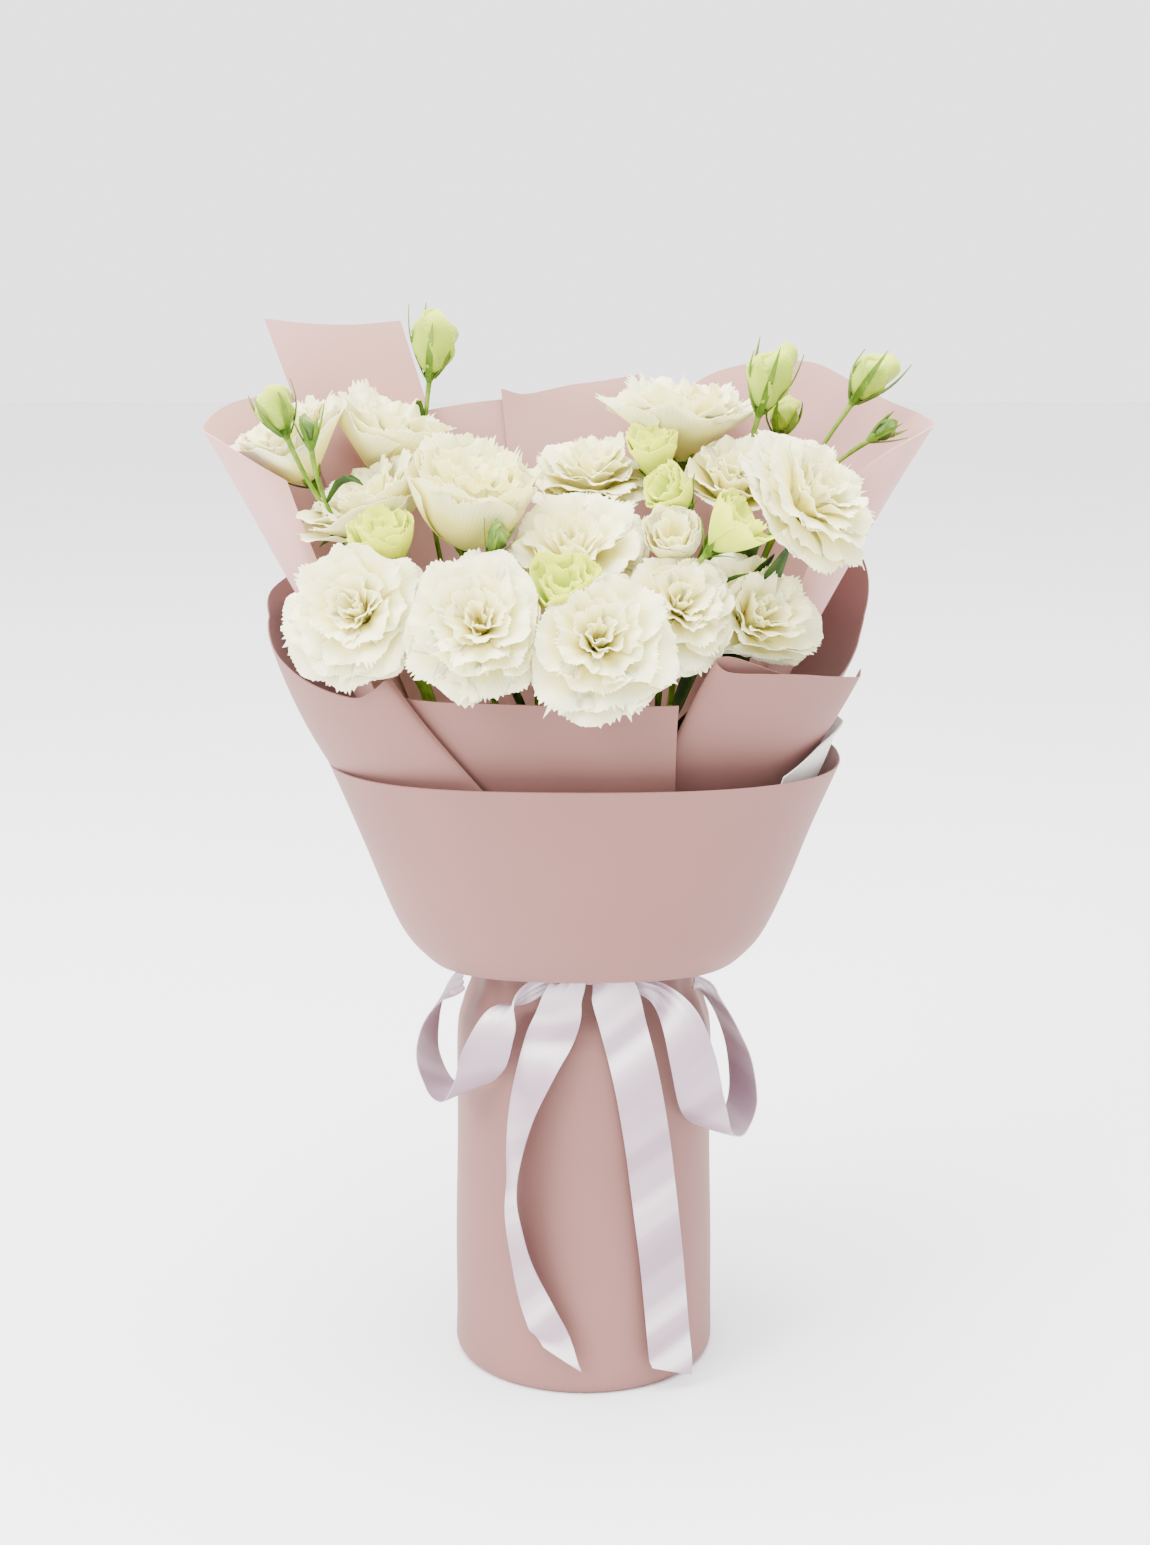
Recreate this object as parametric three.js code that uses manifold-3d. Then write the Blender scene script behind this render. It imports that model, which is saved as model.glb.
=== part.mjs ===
// A wrapped bouquet of white fringed lisianthus, standing on the closed foot of its paper sleeve.
// Millimetres, +Z up, the front faces -Y, the origin is the centre of the foot on the floor.
import * as THREE from "three";
import { mergeVertices } from "three/addons/utils/BufferGeometryUtils.js";
import Module from "manifold-3d";

const wasm = await Module();
wasm.setup();
const { Manifold, Mesh } = wasm;

// Driving sizes
const NECK_RADIUS = 62.5; // outside of the sleeve where the tie gathers it
const SLEEVE_TOP = 256;
const PAPER = 0.8; // thickness of every sheet of paper
const CLEARANCE = 0.35; // air left between pieces that touch
const LAYER_STEP = 1.6; // from one sheet to the next where they are tied
const ROUND = 24; // sides of the round pieces
const RIBBON_WIDTH = 25;
const RIBBON = 0.6; // its thickness
const PETAL = 0.75; // thickness of a petal
const FOAM_TOP = 150;
const STEM_FOOT = 46;
const STEM_RADIUS = 2.2;
const BRANCH_RADIUS = 1.3;

const point = (x, y, z) => new THREE.Vector3(x, y, z);
const mix = (from, to, share) => from + (to - from) * share;
const radians = THREE.MathUtils.degToRad;

// Solids from points and triangles

function solid(points, triangles) {
  const make = (corners) =>
    new Manifold(
      new Mesh({
        numProp: 3,
        vertProperties: new Float32Array(points.flatMap((p) => p.toArray())),
        triVerts: new Uint32Array(corners.flat()),
      }),
    );
  const made = make(triangles);
  return made.volume() > 0 ? made : make(triangles.map(([a, b, c]) => [a, c, b]));
}

// Triangles between two rows of points, which may hold different numbers of points. The pattern is
// the same from either row, so both faces of a thin sheet bend along the same lines.
function stitch(firstStart, firstCount, nextStart, nextCount) {
  if (firstCount > nextCount) {
    return stitch(nextStart, nextCount, firstStart, firstCount).map(([a, b, c]) => [a, c, b]);
  }
  const triangles = [];
  let i = 0;
  let j = 0;
  while (i < firstCount - 1 || j < nextCount - 1) {
    const stepFirst = (i + 0.5) / (firstCount - 1);
    const stepNext = (j + 0.5) / (nextCount - 1);
    if (j >= nextCount - 1 || (i < firstCount - 1 && stepFirst <= stepNext)) {
      triangles.push([firstStart + i, firstStart + i + 1, nextStart + j]);
      i += 1;
    } else {
      triangles.push([firstStart + i, nextStart + j + 1, nextStart + j]);
      j += 1;
    }
  }
  return triangles;
}

function pointNormals(points, triangles) {
  const normals = points.map(() => point(0, 0, 0));
  for (const [a, b, c] of triangles) {
    const side = points[b].clone().sub(points[a]);
    const across = side.cross(points[c].clone().sub(points[a]));
    for (const i of [a, b, c]) normals[i].add(across);
  }
  return normals.map((n) => n.normalize());
}

// A thin closed sheet over rows of points: both faces carry the same triangles, a wall closes the rim.
function slab(rows, thickness) {
  const starts = [];
  let count = 0;
  for (const row of rows) {
    starts.push(count);
    count += row.length;
  }
  const middle = rows.flat();
  const face = [];
  for (let r = 0; r + 1 < rows.length; r += 1) {
    face.push(...stitch(starts[r], rows[r].length, starts[r + 1], rows[r + 1].length));
  }
  const normals = pointNormals(middle, face);
  const shifted = (sign) =>
    middle.map((p, i) => p.clone().addScaledVector(normals[i], (sign * thickness) / 2));
  const last = rows.length - 1;
  const rim = [
    ...rows[0].map((_, i) => i),
    ...rows.slice(1).map((row, r) => starts[r + 1] + row.length - 1),
    ...rows[last].map((_, i) => starts[last] + rows[last].length - 1 - i).slice(1),
    ...rows.slice(1, last).map((_, r) => starts[last - 1 - r]),
  ];
  const triangles = [...face, ...face.map(([a, b, c]) => [c + count, b + count, a + count])];
  rim.forEach((a, i) => {
    const b = rim[(i + 1) % rim.length];
    triangles.push([b, a, a + count], [b, a + count, b + count]);
  });
  return solid([...shifted(1), ...shifted(-1)], triangles);
}

// Triangles between two closed loops of points, which may hold different numbers of points.
function loopStitch(firstStart, firstCount, nextStart, nextCount) {
  const open = stitch(0, firstCount + 1, firstCount + 1, nextCount + 1);
  const place = (i) =>
    i > firstCount
      ? nextStart + ((i - firstCount - 1) % nextCount)
      : firstStart + (i % firstCount);
  return open.map((corners) => corners.map(place));
}

function loopTriangles(loops) {
  const triangles = [];
  let start = 0;
  for (let r = 0; r + 1 < loops.length; r += 1) {
    const next = start + loops[r].length;
    triangles.push(...loopStitch(start, loops[r].length, next, loops[r + 1].length));
    start = next;
  }
  return triangles;
}

// One closed surface through loops of points, from a flat foot to a last single point.
function loopSkin(loops) {
  const points = loops.flat();
  const last = loops[loops.length - 1].length === 1 ? loops.length - 2 : loops.length - 1;
  const triangles = loopTriangles(loops.slice(0, last + 1));
  const apex = points.length - 1;
  const rimStart = apex - loops[last].length;
  loops[last].forEach((_, i) => {
    triangles.push([rimStart + i, rimStart + ((i + 1) % loops[last].length), apex]);
  });
  for (let i = 1; i + 1 < loops[0].length; i += 1) triangles.push([0, i + 1, i]);
  return solid(points, triangles);
}

// A thin closed sheet over loops of points, open at both ends like a cuff.
function loopSlab(loops, thickness) {
  const middle = loops.flat();
  const count = middle.length;
  const face = loopTriangles(loops);
  const normals = pointNormals(middle, face);
  const shifted = (sign) =>
    middle.map((p, i) => p.clone().addScaledVector(normals[i], (sign * thickness) / 2));
  const triangles = [...face, ...face.map(([a, b, c]) => [c + count, b + count, a + count])];
  const sides = loops[0].length;
  for (let i = 0; i < sides; i += 1) {
    const j = (i + 1) % sides;
    for (const [a, b] of [
      [i, j],
      [count - sides + j, count - sides + i],
    ]) {
      triangles.push([b, a, a + count], [b, a + count, b + count]);
    }
  }
  return solid([...shifted(1), ...shifted(-1)], triangles);
}

// A closed skin over rings of points, with a fan over each end.
function skin(rings) {
  const sides = rings[0].length;
  const points = rings.flat();
  const triangles = [];
  for (let r = 0; r + 1 < rings.length; r += 1) {
    for (let i = 0; i < sides; i += 1) {
      const a = r * sides + i;
      const b = r * sides + ((i + 1) % sides);
      triangles.push([a, b, b + sides], [a, b + sides, a + sides]);
    }
  }
  const last = (rings.length - 1) * sides;
  for (let i = 1; i + 1 < sides; i += 1) {
    triangles.push([0, i + 1, i], [last, last + i, last + i + 1]);
  }
  return solid(points, triangles);
}

// A round piece turned round Z. Its profile runs out along one face and back along the other, and
// plan(radius, height, angle) gives each point. Both faces are split along the same diagonals.
function turned(profile, sides, plan) {
  const points = [];
  const triangles = [];
  const count = profile.length;
  for (let s = 0; s < sides; s += 1) {
    const angle = (s / sides) * Math.PI * 2;
    for (const [radius, height] of profile) points.push(plan(radius, height, angle));
    const here = s * count;
    const next = ((s + 1) % sides) * count;
    for (let i = 0; i < count; i += 1) {
      const j = (i + 1) % count;
      if (i < count / 2) {
        triangles.push([here + i, next + i, next + j], [here + i, next + j, here + j]);
      } else {
        triangles.push([here + i, next + i, here + j], [next + i, next + j, here + j]);
      }
    }
  }
  return solid(points, triangles);
}

const roundPlan = (radius, height, angle) =>
  point(radius * Math.cos(angle), radius * Math.sin(angle), height);

// A ring of points round a centre, in the plane of two directions.
function ring(centre, side, up, radius, count, start = 0) {
  return Array.from({ length: count }, (_, i) => {
    const turn = start + (i / count) * Math.PI * 2;
    return centre
      .clone()
      .addScaledVector(side, radius * Math.cos(turn))
      .addScaledVector(up, radius * Math.sin(turn));
  });
}

const levelRing = (radius, height, count = ROUND) =>
  ring(point(0, 0, height), point(1, 0, 0), point(0, 1, 0), radius, count);

// Two directions square to a given one.
function acrossTo(direction) {
  const helper = Math.abs(direction.z) < 0.85 ? point(0, 0, 1) : point(0, -1, 0);
  const side = helper.cross(direction).normalize();
  return [side, direction.clone().cross(side)];
}

// A closed tube along a list of points, tapering from the first radius to the last.
function tube(path, firstRadius, lastRadius, sides = 5) {
  let side = null;
  const rings = path.map((centre, i) => {
    const before = path[Math.max(0, i - 1)];
    const after = path[Math.min(path.length - 1, i + 1)];
    const along = after.clone().sub(before).normalize();
    if (side) side = side.clone().addScaledVector(along, -side.dot(along)).normalize();
    else side = acrossTo(along)[0];
    const other = along.clone().cross(side);
    const radius = mix(firstRadius, lastRadius, i / (path.length - 1));
    return ring(centre, side, other, radius, sides);
  });
  return skin(rings);
}

const join = (solids) => Manifold.union(solids);

function largestBody(made) {
  return made.decompose().reduce((a, b) => (b.volume() > a.volume() ? b : a));
}

const bouquet = new THREE.Group();
bouquet.name = "wrapped_lisianthus";

function add(name, made, material) {
  const mesh = largestBody(made).getMesh();
  const geometry = new THREE.BufferGeometry();
  geometry.setAttribute("position", new THREE.BufferAttribute(mesh.vertProperties, 3));
  geometry.setIndex(new THREE.BufferAttribute(mesh.triVerts, 1));
  const merged = mergeVertices(geometry, 1e-3);
  merged.computeVertexNormals();
  const piece = new THREE.Mesh(merged, material);
  piece.name = name;
  bouquet.add(piece);
}

// Materials

const surface = (color, roughness) =>
  new THREE.MeshStandardMaterial({ color, roughness, metalness: 0 });
const paperPink = surface("#c9a8a2", 0.6);
const linerWhite = surface("#dcd9d4", 0.7);
const satinWhite = surface("#dccfd8", 0.35);
const petalWhite = surface("#f3efe2", 0.6);
const petalGreen = surface("#cfdc84", 0.55);
const stemGreen = surface("#6f8f45", 0.55);
const tubPlastic = surface("#b9bcb6", 0.5);
const foamGreen = surface("#3f6b4a", 0.9);

// Paper sleeve, tub and foam

const SLEEVE_OUTSIDE = [
  [70.5, 0],
  [73.8, 6],
  [73.8, 66],
  [72.3, 130],
  [72, 188],
  [68.5, 207],
  [NECK_RADIUS, 226],
  [NECK_RADIUS, SLEEVE_TOP],
];

function sleeve() {
  const outer = skin(SLEEVE_OUTSIDE.map(([radius, height]) => levelRing(radius, height)));
  const room = SLEEVE_OUTSIDE.slice(2).map(([radius, height]) => [radius - PAPER, height]);
  room.unshift([69.5, 1], [SLEEVE_OUTSIDE[1][0] - PAPER, 6]);
  room[room.length - 1][1] += 3;
  return outer.subtract(skin(room.map(([radius, height]) => levelRing(radius, height))));
}

function tub() {
  const wall = 1.2;
  const radius = 70.6;
  const floor = 1 + CLEARANCE;
  const top = 184;
  const outer = [
    [radius - 2.4, floor],
    [radius, floor + 5],
    [radius, top],
  ];
  const hollow = [
    [radius - wall - 2.2, floor + 1.5],
    [radius - wall, floor + 6],
    [radius - wall, top + 2],
  ];
  const body = (rows) => skin(rows.map(([r, z]) => levelRing(r, z)));
  return body(outer).subtract(body(hollow));
}

function foamBlock() {
  const block = skin([levelRing(65, 3.2, 16), levelRing(67.5, 9, 16), levelRing(67.5, FOAM_TOP, 16)]);
  const holeRadius = STEM_RADIUS + CLEARANCE + 0.1;
  const holes = Object.values(STEMS).map(({ hole: [x, y] }) =>
    tube([point(x, y, STEM_FOOT - 0.5), point(x, y, FOAM_TOP + 5)], holeRadius, holeRadius, 6),
  );
  return block.subtract(join(holes));
}

// Collar: a wide band of paper that turns in under itself to the tie

const COLLAR_PROFILE = [
  [64.5, 257],
  [71.2, 240.8],
  [81, 233.9],
  [91.7, 241.3],
  [103.6, 258.2],
  [140.7, 345.2],
];
const COLLAR_FRONT_LIFT = 8;
const COLLAR_SIDE_LIFT = 4.5; // of the top edge at the sides and the back

function collarPoint(radius, height, angle) {
  const opened = THREE.MathUtils.smoothstep(radius, 80, 140);
  const depth = Math.sin(angle) < 0 ? mix(1, 0.83, opened) : mix(1, 0.6, opened);
  const power = 2 / mix(2, 2.4, opened);
  const rounded = (value) => Math.sign(value) * Math.abs(value) ** power;
  const front = Math.max(0, -Math.sin(angle)) ** 2;
  const frontLift = COLLAR_FRONT_LIFT * front * THREE.MathUtils.smoothstep(radius, 66, 80);
  const sideLift = COLLAR_SIDE_LIFT * (1 - front) * THREE.MathUtils.smoothstep(radius, 104, 140);
  return point(
    radius * rounded(Math.cos(angle)),
    radius * rounded(Math.sin(angle)) * depth,
    height + frontLift + sideLift,
  );
}

function collar() {
  const loops = COLLAR_PROFILE.map(([radius, height]) =>
    Array.from({ length: ROUND }, (_, i) =>
      collarPoint(radius, height, (i / ROUND) * Math.PI * 2),
    ),
  );
  return loopSlab(loops, PAPER);
}

// Sheets of paper. They lie one inside another on flared surfaces whose plan is wide, rounded and
// flat at the back. "wide", "front" and "back" are the half sizes of that plan at the height "at".
// A rib is: angle at its top, half way up and at the tie, the height of its top, and how far its top
// is curled inward. "tuck" is the share of that curl which is left at the tie, where a sheet is folded.

const SHEETS = {
  paper_left_wrap: {
    layer: 0,
    plan: { at: 425, wide: 173, front: 122, back: 78, belly: 0.62 },
    ribs: [
      [134, 126, 120, 447, 0],
      [144, 140, 138, 445, 0],
      [154, 151, 150, 440, 0],
      [166, 164, 164, 434, 0],
      [180, 178, 178, 425, 0],
      [192, 194, 194, 417, 0],
      [203, 207, 209, 410, 0],
      [213, 220, 224, 403, 0],
      [222, 232, 240, 399, 0],
      [229, 242, 256, 398, 0],
      [234, 251, 268, 403, 0],
      [236.5, 254, 273, 408, 2.5],
      [237, 255.5, 277, 409, 6.5],
    ],
  },
  paper_front_panel: {
    layer: 1,
    plan: { at: 396, wide: 152, front: 106, back: 76, belly: 0.5 },
    ribs: [
      [237, 236, 232, 398, 0],
      [245, 246, 244, 397, 0],
      [254, 255, 256, 397, 0],
      [263, 264, 268, 396.5, 0],
      [272, 274, 282, 396, 0],
      [279, 283, 295, 396, 0],
      [283.5, 290, 306, 396, 0],
    ],
  },
  paper_front_right: {
    layer: 2,
    tuck: 0.3,
    plan: { at: 402, wide: 155, front: 101, back: 76, belly: 0.28 },
    ribs: [
      [313, 309, 308, 404, 8],
      [302, 298, 298, 412, 8.5],
      [293, 289, 291, 419, 7.5],
      [289.5, 284, 286.5, 418, 5],
      [292, 284.5, 286.5, 412, 0.5],
      [300, 295, 296, 410, 0],
      [310, 306, 305, 408, 0],
      [320, 316, 314, 405, 0],
      [331, 326, 322, 402, 0],
      [339, 333, 328, 400, 0.5],
      [342, 336, 330, 403, 3],
    ],
  },
  paper_right_wrap: {
    layer: 3,
    plan: { at: 424, wide: 155, front: 92, back: 74, belly: 0.3 },
    ribs: [
      [326, 326, 322, 392, 0],
      [338, 338, 335, 396, 0],
      [350, 350, 350, 402, 0],
      [0, 0, 2, 413, 0],
      [12, 12, 14, 430, 0],
      [26, 26, 27, 450, 0],
      [40, 41, 43, 466, 0],
      [52, 55, 59, 460, 0],
    ],
  },
  paper_back_right: {
    layer: 4,
    plan: { at: 531, wide: 187, front: 92, back: 71, belly: -0.25 },
    ribs: [
      [338, 334, 332, 502, 26],
      [340, 338, 336, 510, 19],
      [343.5, 342, 341, 518, 13],
      [348, 347, 347, 525, 6],
      [356, 355, 353, 530, 0],
      [10, 6, 2, 532, 0],
      [30, 22, 14, 538, 0],
      [45, 34, 27, 549, 0],
      [58, 48, 40, 559, 0],
      [74, 65, 53, 551, 0],
      [84, 78, 70, 514, 0],
    ],
  },
  paper_left_rolled: {
    layer: 1,
    plan: { at: 528, wide: 205, front: 92, back: 72, belly: -0.05 },
    ribs: [
      [200, 203, 207, 502, 24],
      [198, 200.5, 203, 509, 17],
      [194.5, 196, 198, 516, 11],
      [189, 190, 192, 523, 5],
      [182, 183, 185, 527, 0],
      [172, 174, 176, 530, 0],
      [154, 158, 162, 538, 0],
      [147, 149, 152, 540, 0],
      [140, 140, 142, 542, 0],
      [132, 130, 129, 541, 0],
    ],
  },
  paper_back_left: {
    layer: 2,
    plan: { at: 582, wide: 225, front: 92, back: 73, belly: 0 },
    ribs: [
      [137.5, 144, 152, 583, 0],
      [129, 133, 139, 580, 0],
      [120, 121, 124, 579, 0],
      [112, 110.5, 109, 581, 0],
    ],
  },
  paper_back_middle: {
    layer: 1,
    plan: { at: 535, wide: 195, front: 92, back: 79, belly: 0.15 },
    ribs: [
      [112, 117, 124, 531, 0],
      [104, 105, 110, 535, 0],
      [96, 94, 94, 538, 0],
    ],
  },
  paper_back_centre: {
    layer: 2,
    plan: { at: 547, wide: 200, front: 92, back: 76, belly: 0.15 },
    ribs: [
      [99.5, 101, 103, 543, 0],
      [96, 96, 97, 540, 0],
      [90, 86, 82, 546, 0],
      [84.5, 74, 66, 551, 0],
    ],
  },
  inner_liner: {
    layer: 0,
    plan: { at: 364, wide: 136, front: 106, back: 76, belly: 0.62 },
    ribs: [
      [318, 318, 316, 352, 0],
      [330, 330, 328, 362, 0],
      [341, 341, 340, 369, 0],
      [352, 352, 352, 371, 0],
      [4, 4, 4, 368, 0],
    ],
  },
};

const layerRadius = (layer) =>
  NECK_RADIUS - PAPER - 0.95 - PAPER / 2 - LAYER_STEP * layer;

// A point of the flared surface: a circle at the tie, opening to the wide plan above.
function flarePoint({ layer, plan }, angle, height, inset) {
  const tied = layerRadius(layer);
  const share = Math.max(0, (height - SLEEVE_TOP) / (plan.at - SLEEVE_TOP));
  const opened = share + plan.belly * share * (1 - Math.min(1, share));
  const power = 2 / mix(2, 2.5, Math.min(1, opened));
  const turn = radians(angle);
  const rounded = (value) => Math.sign(value) * Math.abs(value) ** power;
  const depth = Math.sin(turn) < 0 ? plan.front : plan.back;
  return point(
    (mix(tied, plan.wide, opened) - inset) * rounded(Math.cos(turn)),
    (mix(tied, depth, opened) - inset) * rounded(Math.sin(turn)),
    height,
  );
}

// Moves both ends of a row of points outward along the row.
function stretchRow(row, distance) {
  const ends = [
    [row[0], row[1]],
    [row.at(-1), row.at(-2)],
  ];
  for (const [end, inner] of ends) end.add(end.clone().sub(inner).setLength(distance));
}

function sheet(plan, swell = 0) {
  const turnBack = plan.ribs.some(([top]) => top > 270) ? 360 : 0;
  const whole = (angle) => (turnBack && angle < 100 ? angle + 360 : angle);
  const shares = [0, 0.2, 0.45, 0.72, 1 + swell * 0.01];
  const tuck = plan.tuck ?? 0;
  const skirt = plan.ribs.map(([, , tie, , curl]) =>
    flarePoint(plan, tie, SLEEVE_TOP - 14, curl * tuck),
  );
  const rows = shares.map((share) =>
    plan.ribs.map(([top, middle, tie, topHeight, curl]) => {
      const height = mix(SLEEVE_TOP, topHeight, share);
      const low = 2 * (share - 0.5) * (share - 1) * whole(tie);
      const half = -4 * share * (share - 1) * whole(middle);
      const high = 2 * share * (share - 0.5) * whole(top);
      return flarePoint(plan, low + half + high, height, curl * mix(tuck, 1, share ** 2));
    }),
  );
  for (const row of [skirt, ...rows]) stretchRow(row, swell);
  return slab([skirt, ...rows], PAPER + 2 * swell);
}

// Satin ribbon: band, knot, two loops and two tails

// A ribbon through stations of a centre and a direction across it, which is made square to the path
// between the two ends.
function ribbon(stations, thickness = RIBBON) {
  const centres = stations.map(([x, y, z]) => point(x, y, z));
  const rows = stations.map(([, , , ax, ay, az, width = RIBBON_WIDTH], i) => {
    const across = point(ax, ay, az).normalize();
    if (i > 0 && i + 1 < stations.length) {
      const along = centres[i + 1].clone().sub(centres[i - 1]).normalize();
      across.addScaledVector(along, -across.dot(along)).normalize();
    }
    return [-0.5, 0.5].map((side) => centres[i].clone().addScaledVector(across, side * width));
  });
  return slab(rows, thickness);
}

function ribbonBand() {
  const inner = NECK_RADIUS + CLEARANCE;
  const profile = [
    [inner, 238],
    [inner + 1, 238],
    [inner + 1, 251],
    [inner, 251],
  ];
  return turned(profile, ROUND, roundPlan);
}

const KNOT = { x: 4, y: -66.4, z: 240.5, half: [7.5, 1.8, 5] };

function knot() {
  const { x, y, z, half } = KNOT;
  const oval = (share, forward) =>
    ring(
      point(x, y - forward, z),
      point(half[0] / half[2], 0, 0),
      point(0, 0, 1),
      half[2] * share,
      8,
      Math.PI / 8,
    );
  return skin([oval(0.8, -half[1]), oval(1.05, 0), oval(0.7, half[1])]);
}

const TAIL_LEFT = [
  [-6, -69.4, 241, 0.9, 0, 0.3, 15],
  [-11.5, -72, 230, 1, 0, 0.12, 21],
  [-15, -74, 217, 0.95, 0.1, 0.3],
  [-24, -75, 196, 0.8, -0.4, 0.4],
  [-33, -74, 170, 0.6, -0.75, 0.3],
  [-38, -76, 145, 0.35, -0.93, 0.1],
  [-39.5, -77, 124, 0.22, -0.97, 0],
  [-38.5, -76, 103, 0.4, -0.9, -0.15],
  [-34, -75.5, 80, 0.55, -0.75, -0.3],
  [-25, -77, 53, 0.75, -0.45, -0.45],
  [-12, -78, 24, 0.85, -0.2, -0.5],
];
const TAIL_RIGHT = [
  [12.5, -69.4, 241, 1, 0, 0.1, 15],
  [16, -71.5, 233, 1, 0, 0.1],
  [21, -73.5, 214, 1, 0, 0.16],
  [28, -73, 185, 1, 0.1, 0.18],
  [34, -72, 150, 1, 0.15, 0.15],
  [38, -71, 118, 1, 0.2, 0.12],
  [42, -70, 84, 1, 0.3, 0.08],
  [45, -69, 52, 1, 0.35, 0.04],
  [47, -69, 30, 1, 0.35, -0.1],
  [49, -68, 12, 1, 0.35, -0.35],
];
const LOOP_LEFT = [
  [-5.4, -66.6, 240.5, 0, 0, 1, 7],
  [-18, -67.6, 238, -0.1, -0.1, 1, 9],
  [-31, -68.5, 231, 0.4, -0.2, 0.9, 13],
  [-45, -70.5, 216, 0.85, -0.15, 0.5, 20],
  [-53, -70.5, 198, 0.95, -0.1, 0.3],
  [-60, -66, 181, 0.8, 0.5, -0.1],
  [-69, -57, 171, 0.6, 0.8, 0.1],
  [-79, -48, 173, 0.45, 0.9, 0],
  [-86, -41, 188, 0.42, 0.9, 0],
  [-84, -37, 206, 0.35, 0.93, 0.05],
  [-76, -36, 222, 0.2, 0.9, 0.3, 20],
  [-66, -40, 231, -0.1, 0.5, 0.8, 12],
];
const LOOP_RIGHT = [
  [13.4, -66.2, 240.5, 0, 0, 1, 7],
  [27, -66.5, 236.5, 0.1, 0, 1, 8],
  [41, -66, 230, 0.45, 0.05, 0.9, 13],
  [52, -66.5, 215, 0.95, 0.1, 0.35, 21],
  [59, -67, 192, 1, 0.1, 0.2],
  [64, -64, 168, 0.95, -0.1, 0.2],
  [71, -55, 150, 0.8, -0.6, 0],
  [81, -44, 146, 0.6, -0.8, 0.1],
  [88, -35, 160, 0.55, -0.83, 0],
  [86, -31, 184, 0.5, -0.87, 0],
  [78, -32, 206, 0.35, -0.9, 0.1],
  [68, -38, 223, 0.2, -0.8, 0.4, 18],
  [60, -46, 232, 0.1, -0.6, 0.8, 11],
];

// Flower heads: kind, centre, facing and reach; a bud's centre is the foot of the bud

const HEADS = {
  bloom_front_left: ["rosette", [-115, -88, 441], [-0.3, -0.85, 0.45], 33],
  bloom_front_midleft: ["rosette", [-53, -107, 437], [-0.05, -0.88, 0.5], 35],
  bloom_front_midright: ["rosette", [6, -111, 430], [0.05, -0.85, 0.5], 36],
  bloom_front_right: ["rosette", [48, -80, 443], [0.2, -0.8, 0.55], 30],
  bloom_low_right: ["rosette", [87, -60, 433], [0.45, -0.7, 0.6], 33],
  bloom_right: ["rosette", [114, -56, 494], [0.6, -0.52, 0.62], 35],
  bloom_middle: ["rosette", [-6, -56, 464], [0, -0.6, 0.8], 38],
  bloom_midleft: ["goblet", [-60, -46, 485], [0.15, -0.25, 0.95], 34],
  bloom_left: ["cup", [-112, -20, 482], [-0.35, -0.2, 0.9], 34],
  bloom_back_left: ["cup", [-106, 20, 514], [0.35, 0, 0.9], 34],
  bloom_far_left: ["cup", [-156, -3, 513], [-0.5, -0.2, 0.85], 31],
  bloom_back_middle: ["rosette", [3, 2, 498], [0, -0.3, 1], 32],
  bloom_back_right: ["cup", [54, 26, 525], [0, -0.1, 1], 34],
  bloom_midright: ["cup", [79, -4, 498], [0.1, -0.45, 0.85], 27],
  bloom_small: ["half", [46, -64, 473], [0, -0.7, 0.7], 20],
  half_left: ["half", [-104, -63, 470], [-0.1, -0.35, 0.9], 22],
  half_front: ["half", [-10, -91, 449], [-0.1, -0.6, 0.8], 24],
  half_right: ["half", [73, -84, 482], [0.65, -0.2, 0.7], 19],
  half_nodding: ["half", [47, -46, 496], [-0.5, -0.5, 0.5], 16],
  half_back: ["half", [37, -4, 512], [-0.2, -0.3, 0.95], 19],
  bud_top_left: ["bud", [-84, 31, 555], [0.15, 0, 1], 12.5, 30],
  bud_far_left: ["bud", [-157, -38, 530], [-0.35, 0, 0.93], 10, 21],
  bud_top_right: ["bud", [95, 4, 538], [0.25, 0, 0.95], 12.5, 32],
  bud_round_right: ["bud", [107, 24, 524], [0.2, 0, 1], 8.5, 17],
  bud_far_right: ["bud", [147, 12, 543], [0.55, 0, 0.8], 11, 26],
  tip_left: ["tip", [-143, -42, 525], [-0.1, 0, 1], 4.5, 13],
  tip_right: ["tip", [157, 0, 523], [0.85, 0, 0.5], 5, 13],
  tip_middle: ["tip", [-47, -80, 472], [0.35, -0.4, 0.85], 5.5, 16],
};

// Rings of petals from the outermost: petals, length in reaches, lean from the axis at the root and
// at the rim in degrees, and how far the rim falls away between petals
const PETAL_RINGS = {
  rosette: [
    [5, 1.3, 32, 112, 0.2],
    [4, 1.2, 20, 78, 0.2],
    [3, 1.0, 9, 44, 0.22],
  ],
  cup: [
    [5, 1.45, 40, 54, 0.16],
    [4, 1.32, 26, 41, 0.18],
    [3, 1.0, 8, 22, 0.25],
  ],
  goblet: [
    [5, 1.62, 64, 14, 0.14],
    [4, 1.45, 44, 8, 0.16],
    [3, 1.15, 16, 9, 0.2],
  ],
  half: [
    [5, 1.5, 44, 8, 0.16],
    [3, 1.3, 22, 4, 0.2],
  ],
};
// Heads close to the front, whose rims have more points
const FINE_HEADS = new Set([
  "bloom_front_left",
  "bloom_front_midleft",
  "bloom_front_midright",
  "bloom_low_right",
  "bloom_right",
]);
const BASE_BELOW = { rosette: 0.5, cup: 0.55, goblet: 0.55, half: 0.65 };
const FULL_HEADS = ["rosette", "cup", "goblet"]; // the ones whose calyx the petals hide
const LEAST_ROOM = 0.5; // of its reach, that a head keeps towards each neighbour

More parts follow.
